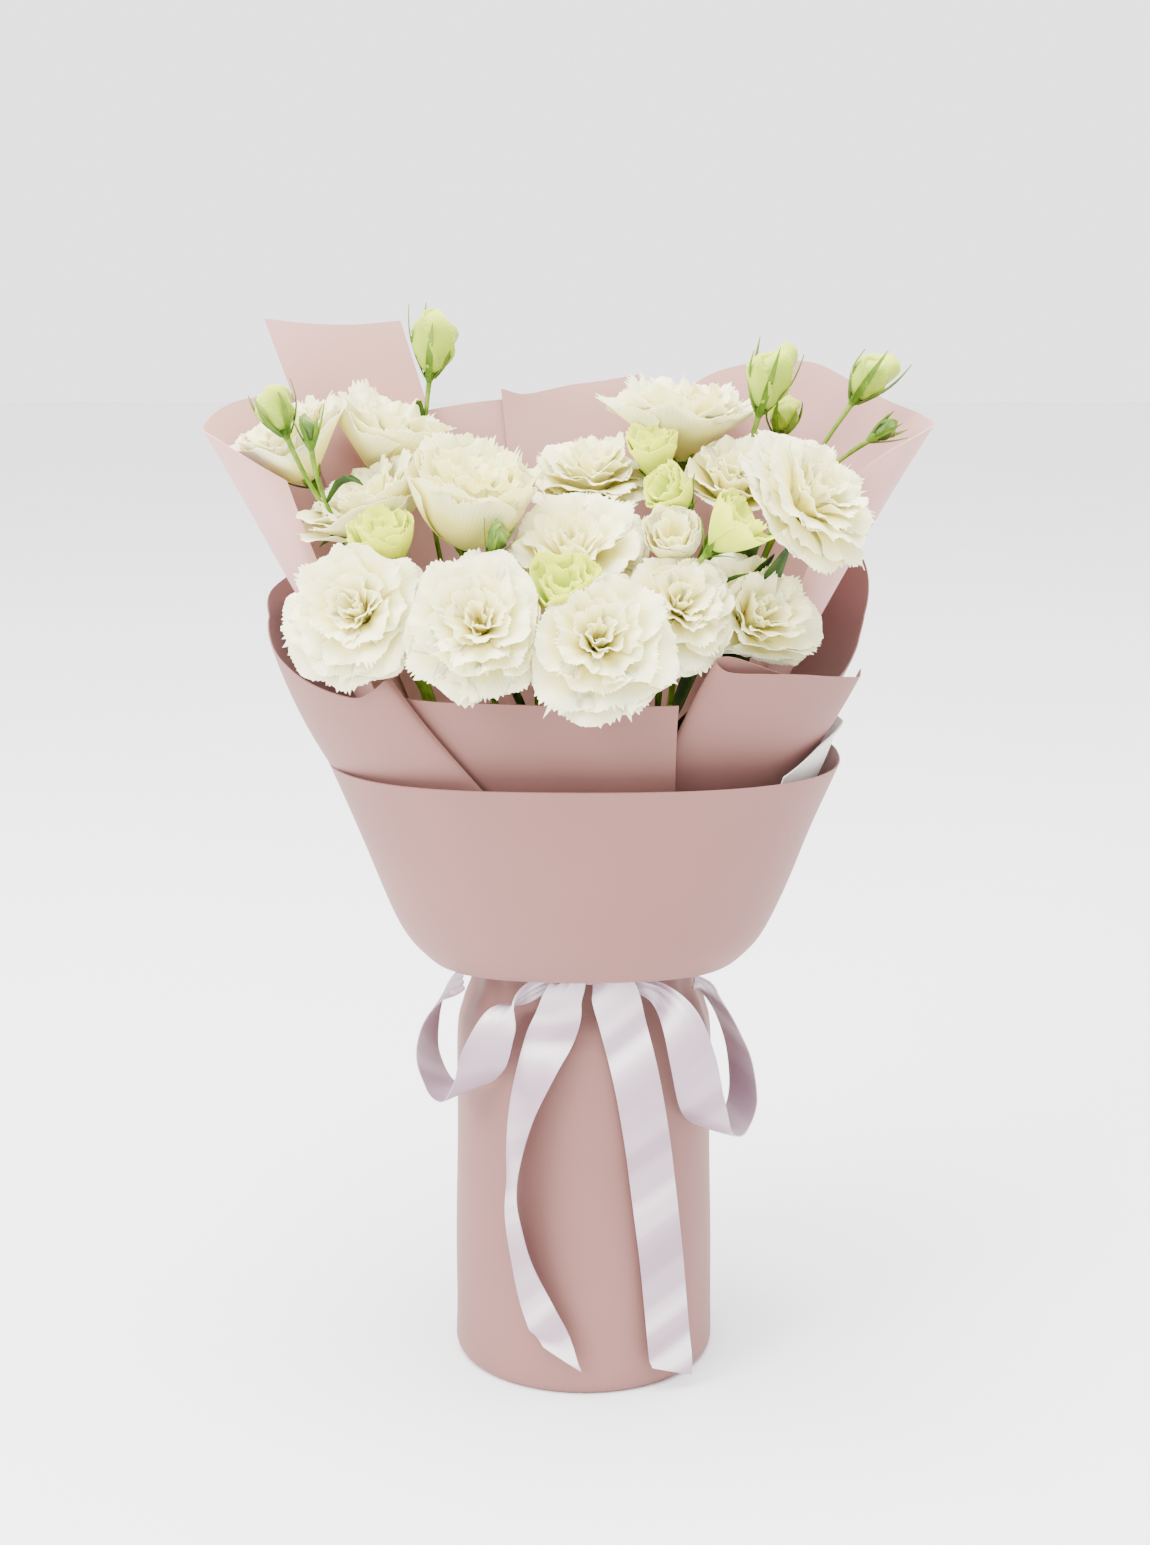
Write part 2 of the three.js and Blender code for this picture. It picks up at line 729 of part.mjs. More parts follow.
function makeHead(name, [kind, centre, facing, reach, length], index) {
  const head = { name, kind, reach, length, index };
  head.centre = point(...centre);
  head.axis = point(...facing).normalize();
  [head.side, head.up] = acrossTo(head.axis);
  head.base = head.centre.clone();
  if (BASE_BELOW[kind]) head.base.addScaledVector(head.axis, -BASE_BELOW[kind] * reach);
  return head;
}

const heads = Object.entries(HEADS).map(([name, row], i) => makeHead(name, row, i));
const openHeads = heads.filter(({ kind }) => PETAL_RINGS[kind]);

// The planes that share the room between neighbouring heads.
function neighbourPlanes(head) {
  const planes = [];
  for (const other of openHeads) {
    if (other === head) continue;
    const toward = other.centre.clone().sub(head.centre);
    const distance = toward.length();
    if (distance > head.reach + other.reach + 8) continue;
    toward.normalize();
    const even = (distance ** 2 + head.reach ** 2 - other.reach ** 2) / (2 * distance);
    const least = LEAST_ROOM * head.reach;
    const most = distance - LEAST_ROOM * other.reach;
    const room = least > most ? (least + most) / 2 : THREE.MathUtils.clamp(even, least, most);
    planes.push({ toward, offset: toward.dot(head.centre) + room });
  }
  return planes;
}

// Points that would cross into a neighbour's room are pressed back, softly, to its near side.
function pressBack(target, planes, softness = 9, air = 0.75) {
  for (let pass = 0; pass < 2; pass += 1) {
    for (const { toward, offset } of planes) {
      const beyond = toward.dot(target) - offset;
      if (beyond <= -softness) continue;
      const room = softness - air;
      const pressed = -softness + room * (1 - Math.exp(-(beyond + softness) / room));
      target.addScaledVector(toward, pressed - beyond);
    }
  }
  return target;
}

const headRing = (head, radius, height, count = 6, start = 0) =>
  ring(
    head.base.clone().addScaledVector(head.axis, height),
    head.side,
    head.up,
    radius,
    count,
    start,
  );

// The middle surface of one ring of petals: root, middle and fringed, waved rim.
function frill(head, planes, [petals, length, leanFirst, leanLast, gap], order, rimPoints) {
  const first = radians(leanFirst);
  const last = radians(leanLast);
  const arc = (length * head.reach) / (last - first);
  const at = (share, along, fringe) => {
    const across = Math.abs(2 * (along % 1) - 1);
    const lean = mix(first, last, share * (1 - gap * across ** 4 * share + fringe));
    const out = 3 - 0.6 * order + arc * (Math.cos(first) - Math.cos(lean));
    const rise = 1 + 1.6 * order + arc * (Math.sin(lean) - Math.sin(first));
    const turn = (along / petals) * Math.PI * 2 + head.index * 0.4;
    const outward = head.side
      .clone()
      .multiplyScalar(Math.cos(turn))
      .addScaledVector(head.up, Math.sin(turn));
    const wave = head.reach * (0.06 * (1 - across) + 0.045 * Math.sin(along * 5)) * share ** 2;
    const target = head.base
      .clone()
      .addScaledVector(head.axis, rise - wave * Math.sin(lean))
      .addScaledVector(outward, out + wave * Math.cos(lean));
    return pressBack(target, planes);
  };
  return [
    [0, 1, 0],
    [0.55, 2, 0],
    [1, rimPoints, 0.05],
  ].map(([share, perPetal, fringe]) =>
    Array.from({ length: petals * perPetal }, (_, i) =>
      at(share, i / perPetal, i % perPetal ? (i % 2 ? fringe : -fringe) : 0),
    ),
  );
}

// A head: one skin that runs out and back over each ring of petals, from the outermost to the heart.
function flowerHead(head) {
  const planes = neighbourPlanes(head);
  const rings = PETAL_RINGS[head.kind];
  const rimPoints = FINE_HEADS.has(head.name) ? 6 : 4;
  const turn = head.index * 0.4;
  const pressedRing = (radius, height, count) =>
    headRing(head, radius, height, count, turn).map((p) => pressBack(p, planes));
  const loops = [pressedRing(2.8, 0, rings[0][0])];
  rings.forEach((row, order) => {
    const middle = frill(head, planes, row, order, rimPoints);
    const normals = pointNormals(middle.flat(), loopTriangles(middle));
    const face = (level, sign) => {
      const start = middle.slice(0, level).flat().length;
      return middle[level].map((p, i) =>
        p.clone().addScaledVector(normals[start + i], (sign * PETAL) / 2),
      );
    };
    loops.push(face(1, 1), face(2, 1), face(2, -1), face(1, -1));
    const next = rings[order + 1];
    const height = 5 + 2.4 * order;
    if (next) loops.push(pressedRing(3.6 - 0.7 * order, height, next[0]));
    else loops.push(pressedRing(0, height + 2, 1));
  });
  let made = loopSkin(loops);
  for (const { toward, offset } of planes) {
    made = made.trimByPlane(toward.clone().negate().toArray(), -(offset - CLEARANCE / 2));
  }
  return made;
}

// A furled bud: rings that turn as they rise to a blunt point.
function bud(head) {
  const profile = [
    [0.3, 0],
    [0.92, 0.28],
    [0.95, 0.6],
    [0.5, 0.9],
    [0.16, 1],
  ];
  return skin(
    profile.map(([wide, high], r) =>
      headRing(head, head.reach * wide, head.length * high, 6, r * 0.28),
    ),
  );
}

// Stems: a hole in the foam, a fork, the heads its branches carry, and leaves (start share, tip, width)

const STEMS = {
  stem_front_left: {
    hole: [-30, -26],
    fork: [-74, -42, 362],
    carries: ["bloom_front_left", "half_left"],
    leaves: [[0.8, [-112, -66, 384], 16]],
  },
  stem_left: {
    hole: [-37, -6],
    fork: [-90, -20, 398],
    carries: ["bloom_left", "bud_far_left", "tip_left"],
    leaves: [[0.7, [-106, -26, 396], 15]],
  },
  stem_far_left: {
    hole: [-34, 14],
    fork: [-92, 10, 405],
    carries: ["bloom_far_left"],
    leaves: [[0.75, [-110, 18, 430], 14]],
  },
  stem_back_left: {
    hole: [-26, 34],
    fork: [-72, 32, 415],
    carries: ["bloom_back_left", "bud_top_left"],
    leaves: [[0.75, [-92, 38, 424], 14]],
  },
  stem_front_midleft: {
    hole: [-13, -36],
    fork: [-42, -62, 365],
    carries: ["bloom_front_midleft", "tip_middle"],
    leaves: [[0.8, [-82, -70, 388], 16]],
  },
  stem_front_midright: {
    hole: [8, -37],
    fork: [6, -66, 362],
    carries: ["bloom_front_midright", "half_front"],
    leaves: [[0.75, [-18, -84, 385], 16]],
  },
  stem_middle: {
    hole: [-12, -10],
    fork: [-26, -18, 395],
    carries: ["bloom_middle", "bloom_midleft"],
    leaves: [[0.8, [-58, -30, 425], 16]],
  },
  stem_front_right: {
    hole: [28, -28],
    fork: [38, -46, 368],
    carries: ["bloom_front_right", "bloom_small", "half_right"],
    leaves: [[0.85, [66, -74, 398], 15]],
  },
  stem_right: {
    hole: [36, -9],
    fork: [68, -28, 378],
    carries: ["bloom_low_right", "bloom_right"],
    leaves: [[0.95, [106, -68, 476], 28]],
  },
  stem_centre: {
    hole: [8, 6],
    fork: [14, 0, 410],
    carries: ["bloom_back_middle", "half_nodding", "half_back"],
    leaves: [[0.85, [30, -28, 425], 14]],
  },
  stem_back_right: {
    hole: [26, 32],
    fork: [54, 28, 415],
    carries: ["bloom_back_right", "bloom_midright", "bud_top_right", "bud_round_right"],
    leaves: [[0.75, [84, 48, 425], 15]],
  },
  stem_far_right: {
    hole: [35, 12],
    fork: [90, 10, 430],
    carries: ["bud_far_right", "tip_right"],
    leaves: [[0.8, [110, 20, 424], 14]],
  },
};

function bezier(a, b, c, d, steps) {
  const curve = new THREE.CubicBezierCurve3(a, b, c, d);
  return Array.from({ length: steps + 1 }, (_, i) => curve.getPoint(i / steps));
}

function mainPath({ hole: [x, y], fork }) {
  const foot = point(x, y, STEM_FOOT);
  const leave = point(x, y, FOAM_TOP + 12);
  const top = point(...fork);
  const lean = top.clone().sub(leave);
  const before = top.clone().addScaledVector(lean, -0.3);
  return [foot, ...bezier(leave, point(x, y, FOAM_TOP + 105), before, top, 4)];
}

function branchPath(path, head) {
  const fork = path[path.length - 1];
  const upward = fork.clone().sub(path[path.length - 2]).normalize();
  const end = head.base.clone().addScaledVector(head.axis, -5);
  const reach = end.distanceTo(fork) * 0.36;
  const leave = fork.clone().addScaledVector(upward, reach);
  const arrive = end.clone().addScaledVector(head.axis, -reach);
  return bezier(fork.clone().addScaledVector(upward, -2), leave, arrive, end, 3);
}

// The green cup under a head: a star whose points are the sepals; a bud's sepals bend round it.
function calyx(head, swell) {
  const foot = headRing(head, 1.1 + swell, -6.5, 5);
  const top = swell - CLEARANCE;
  if (FULL_HEADS.includes(head.kind)) {
    return [skin([foot, headRing(head, 3 + swell, top, 5)])];
  }
  const brim = headRing(head, 3 + swell, -1.8, 5);
  const rim = headRing(head, 3.2 + swell, top - 0.15, 10);
  const star = { half: [17 + 6 * swell, 5 + swell], tip: [9 + 6 * swell, 9] }[head.kind];
  if (star) {
    const tips = headRing(head, star[0], star[1], 10);
    for (let i = 0; i < 10; i += 2) rim[i] = tips[i];
  }
  const parts = [loopSkin([foot, brim, rim, headRing(head, 0, top, 1)])];
  if (head.kind !== "bud") return parts;
  const outline = [
    [1.5, -3],
    [head.reach + 2.2, 0.34 * head.length],
    [1.4 * head.reach, 1.2 * head.length],
  ];
  for (let i = 0; i < 4; i += 1) {
    const path = outline.map(([out, rise]) => headRing(head, out, rise, 4, 0.35 + head.index)[i]);
    parts.push(tube(path, 0.8 + swell, 0.35 + swell, 3));
  }
  return parts;
}

function leaf(path, [share, tip, width]) {
  const along = share * (path.length - 1);
  const before = Math.min(path.length - 2, Math.floor(along));
  const start = path[before].clone().lerp(path[before + 1], along - before);
  const end = point(...tip);
  const direction = end.clone().sub(start);
  const side = point(-direction.y, direction.x, 0).normalize();
  const at = (part, across, dip) =>
    start
      .clone()
      .addScaledVector(direction, part)
      .addScaledVector(side, (across * width) / 2)
      .add(point(0, 0, dip));
  return slab(
    [
      [at(-0.02, -0.08, 0), at(-0.02, 0.08, 0)],
      [at(0.3, -0.8, 2), at(0.3, 0, 0), at(0.3, 0.8, 2)],
      [at(0.65, -0.85, 2), at(0.65, 0, 0), at(0.65, 0.85, 2)],
      [at(1, 0, -2)],
    ],
    PAPER,
  );
}

function stem(plan, swell = 0) {
  const path = mainPath(plan);
  const parts = [tube(path, STEM_RADIUS + swell, 1.7 + swell, 5)];
  for (const name of plan.carries) {
    const head = heads.find((one) => one.name === name);
    parts.push(tube(branchPath(path, head), BRANCH_RADIUS + swell, 1.1 + swell, 4));
    parts.push(...calyx(head, swell));
    if (head.kind === "tip") {
      const seat = head.base.clone().addScaledVector(head.axis, -1);
      parts.push(bud({ ...head, base: seat }));
    }
  }
  for (const one of plan.leaves) parts.push(leaf(path, one));
  return join(parts);
}

// Assembly

add("paper_sleeve", sleeve(), paperPink);
add("inner_tub", tub(), tubPlastic);
add("floral_foam", foamBlock(), foamGreen);
add("paper_collar", collar(), paperPink);

const swelledSheets = [];
for (const [name, plan] of Object.entries(SHEETS)) {
  add(name, sheet(plan), name === "inner_liner" ? linerWhite : paperPink);
  swelledSheets.push(sheet(plan, CLEARANCE));
}

add("ribbon_band", ribbonBand(), satinWhite);
add("ribbon_knot", knot(), satinWhite);
add("ribbon_tail_left", ribbon(TAIL_LEFT), satinWhite);
add("ribbon_tail_right", ribbon(TAIL_RIGHT), satinWhite);
add("ribbon_loop_left", ribbon(LOOP_LEFT), satinWhite);
add("ribbon_loop_right", ribbon(LOOP_RIGHT), satinWhite);

const swelledStems = [];
for (const [name, plan] of Object.entries(STEMS)) {
  add(name, stem(plan), stemGreen);
  swelledStems.push(stem(plan, CLEARANCE));
}

for (const head of heads) {
  if (head.kind === "tip") continue;
  if (head.kind === "bud") {
    add(head.name, bud(head), petalGreen);
    continue;
  }
  const made = flowerHead(head).subtract(join([...swelledStems, ...swelledSheets]));
  add(head.name, made, head.name.startsWith("half") ? petalGreen : petalWhite);
}

export default bouquet;
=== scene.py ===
import math

import bpy
import numpy as np
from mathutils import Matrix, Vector


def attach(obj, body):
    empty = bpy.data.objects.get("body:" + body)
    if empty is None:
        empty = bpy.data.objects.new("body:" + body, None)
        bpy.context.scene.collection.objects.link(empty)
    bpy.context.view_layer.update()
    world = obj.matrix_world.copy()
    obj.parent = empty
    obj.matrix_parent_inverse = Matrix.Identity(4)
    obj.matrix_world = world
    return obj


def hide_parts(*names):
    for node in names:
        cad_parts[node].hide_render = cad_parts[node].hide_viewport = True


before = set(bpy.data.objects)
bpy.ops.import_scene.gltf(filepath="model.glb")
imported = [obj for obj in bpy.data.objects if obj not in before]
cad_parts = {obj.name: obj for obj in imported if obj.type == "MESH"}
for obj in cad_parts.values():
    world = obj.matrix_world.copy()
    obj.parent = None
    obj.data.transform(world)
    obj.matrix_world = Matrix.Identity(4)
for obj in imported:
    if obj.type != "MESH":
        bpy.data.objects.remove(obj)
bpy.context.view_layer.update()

# Driving sizes, in millimetres
MM = 0.001
NECK_RADIUS = 62.5
SLEEVE_TOP = 256.0
PAPER = 0.8
LAYER_STEP = 1.6
RIBBON_WIDTH = 25.0
RIBBON = 0.5
FOAM_TOP = 150.0
STEM_FOOT = 46.0
STEM_RADIUS = 2.2
FORK_RADIUS = 1.7
BRANCH_RADIUS = 1.3
BRANCH_TOP_RADIUS = 1.15
STEM_SIDES = 10
BODY = "root"


# Small helpers


def smoothstep(value, low, high):
    share = np.clip((value - low) / (high - low), 0, 1)
    return share * share * (3 - 2 * share)


def mix(first, second, share):
    return first + (second - first) * share


def mixed(first, second, share):
    return tuple(mix(a, b, share) for a, b in zip(first, second))


def unit(vectors):
    length = np.linalg.norm(vectors, axis=-1, keepdims=True)
    return vectors / np.maximum(length, 1e-9)


def full_turn(count):
    """A row of angles, so many equal steps of one turn."""
    return np.arange(count)[None, :] / count * 2 * math.pi


def squarer(value, power):
    """A cosine or sine that makes a plan between an ellipse and a rounded box."""
    return np.sign(value) * np.abs(value) ** power


def smooth_through(rows, steps):
    """Rows of numbers on a smooth curve through the given rows, with so many steps between two."""
    rows = np.array(rows, float)
    padded = np.vstack([2 * rows[0] - rows[1], rows, 2 * rows[-1] - rows[-2]])
    share = (np.arange(steps) / steps)[:, None]
    made = []
    for before, start, end, after in zip(padded, padded[1:], padded[2:], padded[3:]):
        made.append(
            0.5
            * (
                2 * start
                + (end - before) * share
                + (2 * before - 5 * start + 4 * end - after) * share**2
                + (3 * start - before - 3 * end + after) * share**3
            )
        )
    return np.vstack([*made, rows[-1:]])


def soft_waves(across, up, seed, size):
    """Slow, smooth unevenness of about one, over two coordinates in millimetres."""
    rng = np.random.default_rng(seed)
    total = np.zeros(np.broadcast(across, up).shape)
    for _ in range(5):
        turn, phase = rng.uniform(0, 2 * math.pi, 2)
        pitch = size * rng.uniform(0.7, 1.6)
        along = across * math.cos(turn) + up * math.sin(turn) * 0.6
        total += np.sin(along * 2 * math.pi / pitch + phase)
    return total / 2.5


# Meshes


def grid_faces(rows, columns, closed=False):
    """Quads over a grid of points; closed joins the last column to the first."""
    row, column = np.meshgrid(
        np.arange(rows - 1), np.arange(columns if closed else columns - 1), indexing="ij"
    )
    here = row * columns + column
    beside = row * columns + (column + 1) % columns
    return np.stack([here, beside, beside + columns, here + columns], -1).reshape(-1, 4)


def grid_normals(grid, closed=False):
    if closed:
        beside = np.roll(grid, -1, 1) - np.roll(grid, 1, 1)
    else:
        beside = np.gradient(grid, axis=1)
    return unit(np.cross(beside, np.gradient(grid, axis=0)))


def rim_of(rows, columns):
    """The edge of a grid as one closed path of point numbers."""
    count = rows * columns
    first = np.arange(columns)
    right = np.arange(1, rows) * columns + columns - 1
    last = np.arange(count - 2, count - columns - 1, -1)
    left = np.arange(rows - 2, 0, -1) * columns
    return np.concatenate([first, right, last, left])


def wall(path, count):
    """Quads that join a closed path on the front of a sheet to the same path on its back."""
    after = np.roll(path, -1)
    return np.stack([after, path, path + count, after + count], -1)


def thick(grid, thickness, closed=False):
    """Points and faces of a closed sheet round a grid of points."""
    rows, columns = grid.shape[:2]
    count = rows * columns
    shift = grid_normals(grid, closed) * thickness / 2
    points = np.concatenate([(grid + shift).reshape(-1, 3), (grid - shift).reshape(-1, 3)])
    face = grid_faces(rows, columns, closed)
    if closed:
        bottom = np.arange(columns)
        walls = [wall(bottom, count), wall(count - 1 - bottom, count)]
    else:
        walls = [wall(rim_of(rows, columns), count)]
    return points, np.concatenate([face, face[:, ::-1] + count, *walls]).tolist()


def on_both_faces(values, size):
    """Values over a grid, once for the points of each face of a thick sheet."""
    return np.tile(np.broadcast_to(values, size).ravel(), 2)


def pole_skin(loops, start, end):
    """Points and faces of a closed round body: loops of points between two single ones."""
    rows, columns = loops.shape[:2]
    points = np.vstack([loops.reshape(-1, 3), start, end])
    faces = grid_faces(rows, columns, True).tolist()
    last = (rows - 1) * columns
    for i in range(columns):
        j = (i + 1) % columns
        faces.append([rows * columns, j, i])
        faces.append([rows * columns + 1, last + i, last + j])
    return points, faces


def gather(bodies):
    """One set of points and faces from several, with their attributes end to end."""
    points, faces, attributes, count = [], [], {}, 0
    for body_points, body_faces, *more in bodies:
        points.append(body_points)
        faces.extend([[i + count for i in face] for face in body_faces])
        count += len(body_points)
        for key, values in (more[0] if more else {}).items():
            attributes.setdefault(key, []).append(values)
    joined = {key: np.concatenate(values) for key, values in attributes.items()}
    return np.vstack(points), faces, joined


def linked(name, data):
    """A new object in the scene, for a mesh, a light or a camera."""
    made = bpy.data.objects.new(name, data)
    bpy.context.scene.collection.objects.link(made)
    return made


def carry(mesh, attributes):
    """The mesh carries these numbers, one row of them for its points."""
    for key, values in attributes.items():
        layer = mesh.attributes.new(key, "FLOAT", "POINT")
        layer.data.foreach_set("value", np.asarray(values, np.float32))


def smoothed(mesh, sharp):
    """The mesh looks smooth but for edges that turn by more than so many degrees."""
    mesh.shade_smooth()
    mesh.set_sharp_from_angle(angle=math.radians(sharp))


def make_piece(name, points, faces, finish, attributes=None, sharp=50):
    mesh = bpy.data.meshes.new(name)
    mesh.from_pydata((points * MM).tolist(), [], faces)
    carry(mesh, attributes or {})
    smoothed(mesh, sharp)
    mesh.materials.append(finish)
    return linked(name, mesh)


def settle(piece):
    """The piece rides the part's one body."""
    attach(piece, BODY)


def dress(piece, slot, *nodes):
    """The piece is settled, and stands for these nodes of the frame."""
    settle(piece)
    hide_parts(*nodes)


# Finishes

VEIN_WAVES = 95.0
THREAD_WAVES = 240.0
# Painted highlight: bands of pale and deep base colour across the ribbons stand in for the satin's
# sheen
PAINTED_HIGHLIGHT_BANDS = 34
PAINTED_HIGHLIGHT_SKEW = 0.006


def new_finish(name, **sockets):
    made = bpy.data.materials.new(name)
    made.use_nodes = True
    shader = made.node_tree.nodes["Principled BSDF"]
    for key, value in sockets.items():
        shader.inputs[key.replace("_", " ")].default_value = value
    return made, made.node_tree, shader


def object_noise(tree, scale, detail=3.0, stretch=(1, 1, 1)):
    place = tree.nodes.new("ShaderNodeTexCoord")
    turn = tree.nodes.new("ShaderNodeMapping")
    turn.inputs["Scale"].default_value = stretch
    noise = tree.nodes.new("ShaderNodeTexNoise")
    noise.inputs["Scale"].default_value = scale
    noise.inputs["Detail"].default_value = detail
    tree.links.new(place.outputs["Object"], turn.inputs["Vector"])
    tree.links.new(turn.outputs["Vector"], noise.inputs["Vector"])
    return noise.outputs["Fac"]


def carried(tree, name):
    """A number that the mesh carries at each point."""
    node = tree.nodes.new("ShaderNodeAttribute")
    node.attribute_name = name
    return node.outputs["Fac"]


def ramp(tree, share, stops):
    node = tree.nodes.new("ShaderNodeValToRGB")
    slots = node.color_ramp.elements
    while len(slots) < len(stops):
        slots.new(0.5)
    for slot, (place, colour) in zip(slots, stops):
        slot.position = place
        slot.color = (*colour, 1)
    tree.links.new(share, node.inputs["Fac"])
    return node.outputs["Color"]


def feed(tree, socket, value):
    """A socket takes another node's output, or a plain value."""
    if isinstance(value, bpy.types.NodeSocket):
        tree.links.new(value, socket)
    else:
        socket.default_value = value


def blended(tree, share, first, second, mode="MIX"):
    node = tree.nodes.new("ShaderNodeMix")
    node.data_type = "RGBA"
    node.blend_type = mode
    colours = [socket for socket in node.inputs if socket.type == "RGBA"]
    for socket, value in [(node.inputs["Factor"], share), *zip(colours, (first, second))]:
        feed(tree, socket, value)
    return next(socket for socket in node.outputs if socket.type == "RGBA")


def summed(tree, operation, *values):
    node = tree.nodes.new("ShaderNodeMath")
    node.operation = operation
    for socket, value in zip(node.inputs, values):
        feed(tree, socket, value)
    return node.outputs["Value"]


def bumped(tree, shader, height, strength, distance):
    node = tree.nodes.new("ShaderNodeBump")
    node.inputs["Strength"].default_value = strength
    node.inputs["Distance"].default_value = distance
    tree.links.new(height, node.inputs["Height"])
    tree.links.new(node.outputs["Normal"], shader.inputs["Normal"])


def paper_finish(name, deep, plain, pale, roughness=0.6):
    """Matte coated wrapping paper: a slow drift of tone and a fine tooth."""
    made, tree, shader = new_finish(
        name, Roughness=roughness, Sheen_Weight=0.04, Specular_IOR_Level=0.25
    )
    drift = object_noise(tree, 7, 2)
    tone = ramp(tree, drift, [(0.3, deep), (0.5, plain), (0.72, pale)])
    tree.links.new(tone, shader.inputs["Base Color"])
    bumped(tree, shader, object_noise(tree, 1400, 2), 0.06, 0.0004)
    return made


def satin_finish():
    """Pale satin: fine threads along the ribbon, and a painted highlight and painted shade in soft
    bands across it.
    """
    made, tree, shader = new_finish(
        "satin", Roughness=0.3, Specular_IOR_Level=0.8, Sheen_Weight=0.08, Anisotropic=0.5
    )
    bands = tree.nodes.new("ShaderNodeTexNoise")
    bands.noise_dimensions = "1D"
    bands.inputs["Scale"].default_value = PAINTED_HIGHLIGHT_BANDS
    bands.inputs["Detail"].default_value = 1
    skew = summed(tree, "MULTIPLY", carried(tree, "across"), PAINTED_HIGHLIGHT_SKEW)
    tree.links.new(summed(tree, "ADD", carried(tree, "along"), skew), bands.inputs["W"])
    # Painted highlight and shade: the pale stop is a painted sheen band, the deep stop painted
    # shade between bands
    tone = ramp(
        tree,
        bands.outputs["Fac"],
        [(0.36, (0.29, 0.19, 0.25)), (0.52, (0.38, 0.27, 0.33)), (0.7, (0.72, 0.64, 0.69))],
    )
    tree.links.new(tone, shader.inputs["Base Color"])
    threads = summed(tree, "SINE", summed(tree, "MULTIPLY", carried(tree, "across"), THREAD_WAVES))
    bumped(tree, shader, threads, 0.05, 0.0002)
    return made


def petal_finish(name, throat, fold, rim, vein):
    """Petal skin: green at the root, cream towards the middle, pale at the fringed rim, finely
    veined, with cream painted shade deep in the folds.
    """
    made, tree, shader = new_finish(name, Roughness=0.58, Subsurface_Weight=0.6)
    shader.inputs["Subsurface Radius"].default_value = (0.005, 0.0046, 0.003)
    shader.inputs["Subsurface Scale"].default_value = 0.5
    shader.inputs["Sheen Weight"].default_value = 0.08
    along = ramp(
        tree,
        carried(tree, "along"),
        [(0.0, throat), (0.34, mixed(throat, fold, 0.6)), (0.62, fold), (0.9, rim)],
    )
    # Painted shade: deep in the folds and in the heart the colour is pulled toward the fold colour
    painted_fold_shade = summed(tree, "MULTIPLY", carried(tree, "fold"), 0.6)
    fold_shaded_tone = blended(tree, painted_fold_shade, along, (*fold, 1))
    veins = summed(tree, "SINE", summed(tree, "MULTIPLY", carried(tree, "across"), VEIN_WAVES))
    vein_share = summed(tree, "MULTIPLY_ADD", veins, 0.5, 0.5)
    veined = ramp(tree, vein_share, [(0, vein), (0.35, (1, 1, 1))])
    patchy = ramp(tree, object_noise(tree, 60, 3), [(0.3, (0.95, 0.95, 0.92)), (0.6, (1, 1, 1))])
    tinted = blended(tree, 1.0, blended(tree, 1.0, fold_shaded_tone, veined, "MULTIPLY"), patchy, "MULTIPLY")
    tree.links.new(tinted, shader.inputs["Base Color"])
    bumped(tree, shader, summed(tree, "ADD", veins, object_noise(tree, 300, 3)), 0.12, 0.0006)
    return made


def green_finish(name, deep, plain, pale, roughness):
    """Stems, sepals and leaves: mottled green, paler along "along"."""
    made, tree, shader = new_finish(name, Roughness=roughness, Specular_IOR_Level=0.12)
    paler = summed(tree, "MULTIPLY", carried(tree, "along"), 0.25)
    mottle = summed(tree, "ADD", object_noise(tree, 90, 4), paler)
    tone = ramp(tree, mottle, [(0.35, deep), (0.55, plain), (0.8, pale)])
    tree.links.new(tone, shader.inputs["Base Color"])
    bumped(tree, shader, object_noise(tree, 500, 2, (1, 1, 0.15)), 0.15, 0.0005)
    return made


def foam_finish():
    made, tree, shader = new_finish("wet_foam", Roughness=0.95)
    pits = object_noise(tree, 900, 4)
    tone = ramp(tree, pits, [(0.35, (0.012, 0.05, 0.02)), (0.6, (0.04, 0.13, 0.06))])
    tree.links.new(tone, shader.inputs["Base Color"])
    bumped(tree, shader, pits, 0.6, 0.0008)
    return made


def tub_finish():
    made, tree, shader = new_finish("tub_plastic", Roughness=0.4)
    cloudy = object_noise(tree, 30, 2)
    tone = ramp(tree, cloudy, [(0.3, (0.4, 0.42, 0.39)), (0.7, (0.5, 0.52, 0.48))])
    tree.links.new(tone, shader.inputs["Base Color"])
    bumped(tree, shader, object_noise(tree, 700, 2), 0.05, 0.0003)
    return made


def floor_finish():
    made, tree, shader = new_finish("pale_floor", Roughness=0.75)
    cloudy = object_noise(tree, 3, 2)
    tone = ramp(tree, cloudy, [(0.3, (0.86, 0.86, 0.86)), (0.7, (0.88, 0.88, 0.88))])
    tree.links.new(tone, shader.inputs["Base Color"])
    return made


PAPER_PINK = paper_finish(
    "dusty_pink_paper", (0.2, 0.092, 0.08), (0.22, 0.102, 0.089), (0.243, 0.115, 0.1)
)
# Painted light: the same paper as dusty_pink_paper, coloured over twice as light for the back
# sheets that light shines through
PAPER_PINK_PAINTED_BACKLIT = paper_finish(
    "pink_paper_painted_backlit", (0.47, 0.255, 0.23), (0.52, 0.285, 0.26), (0.57, 0.325, 0.295)
)
LINER_WHITE = paper_finish(
    "pale_liner", (0.55, 0.53, 0.49), (0.62, 0.6, 0.56), (0.68, 0.66, 0.62), 0.6
)
SATIN = satin_finish()
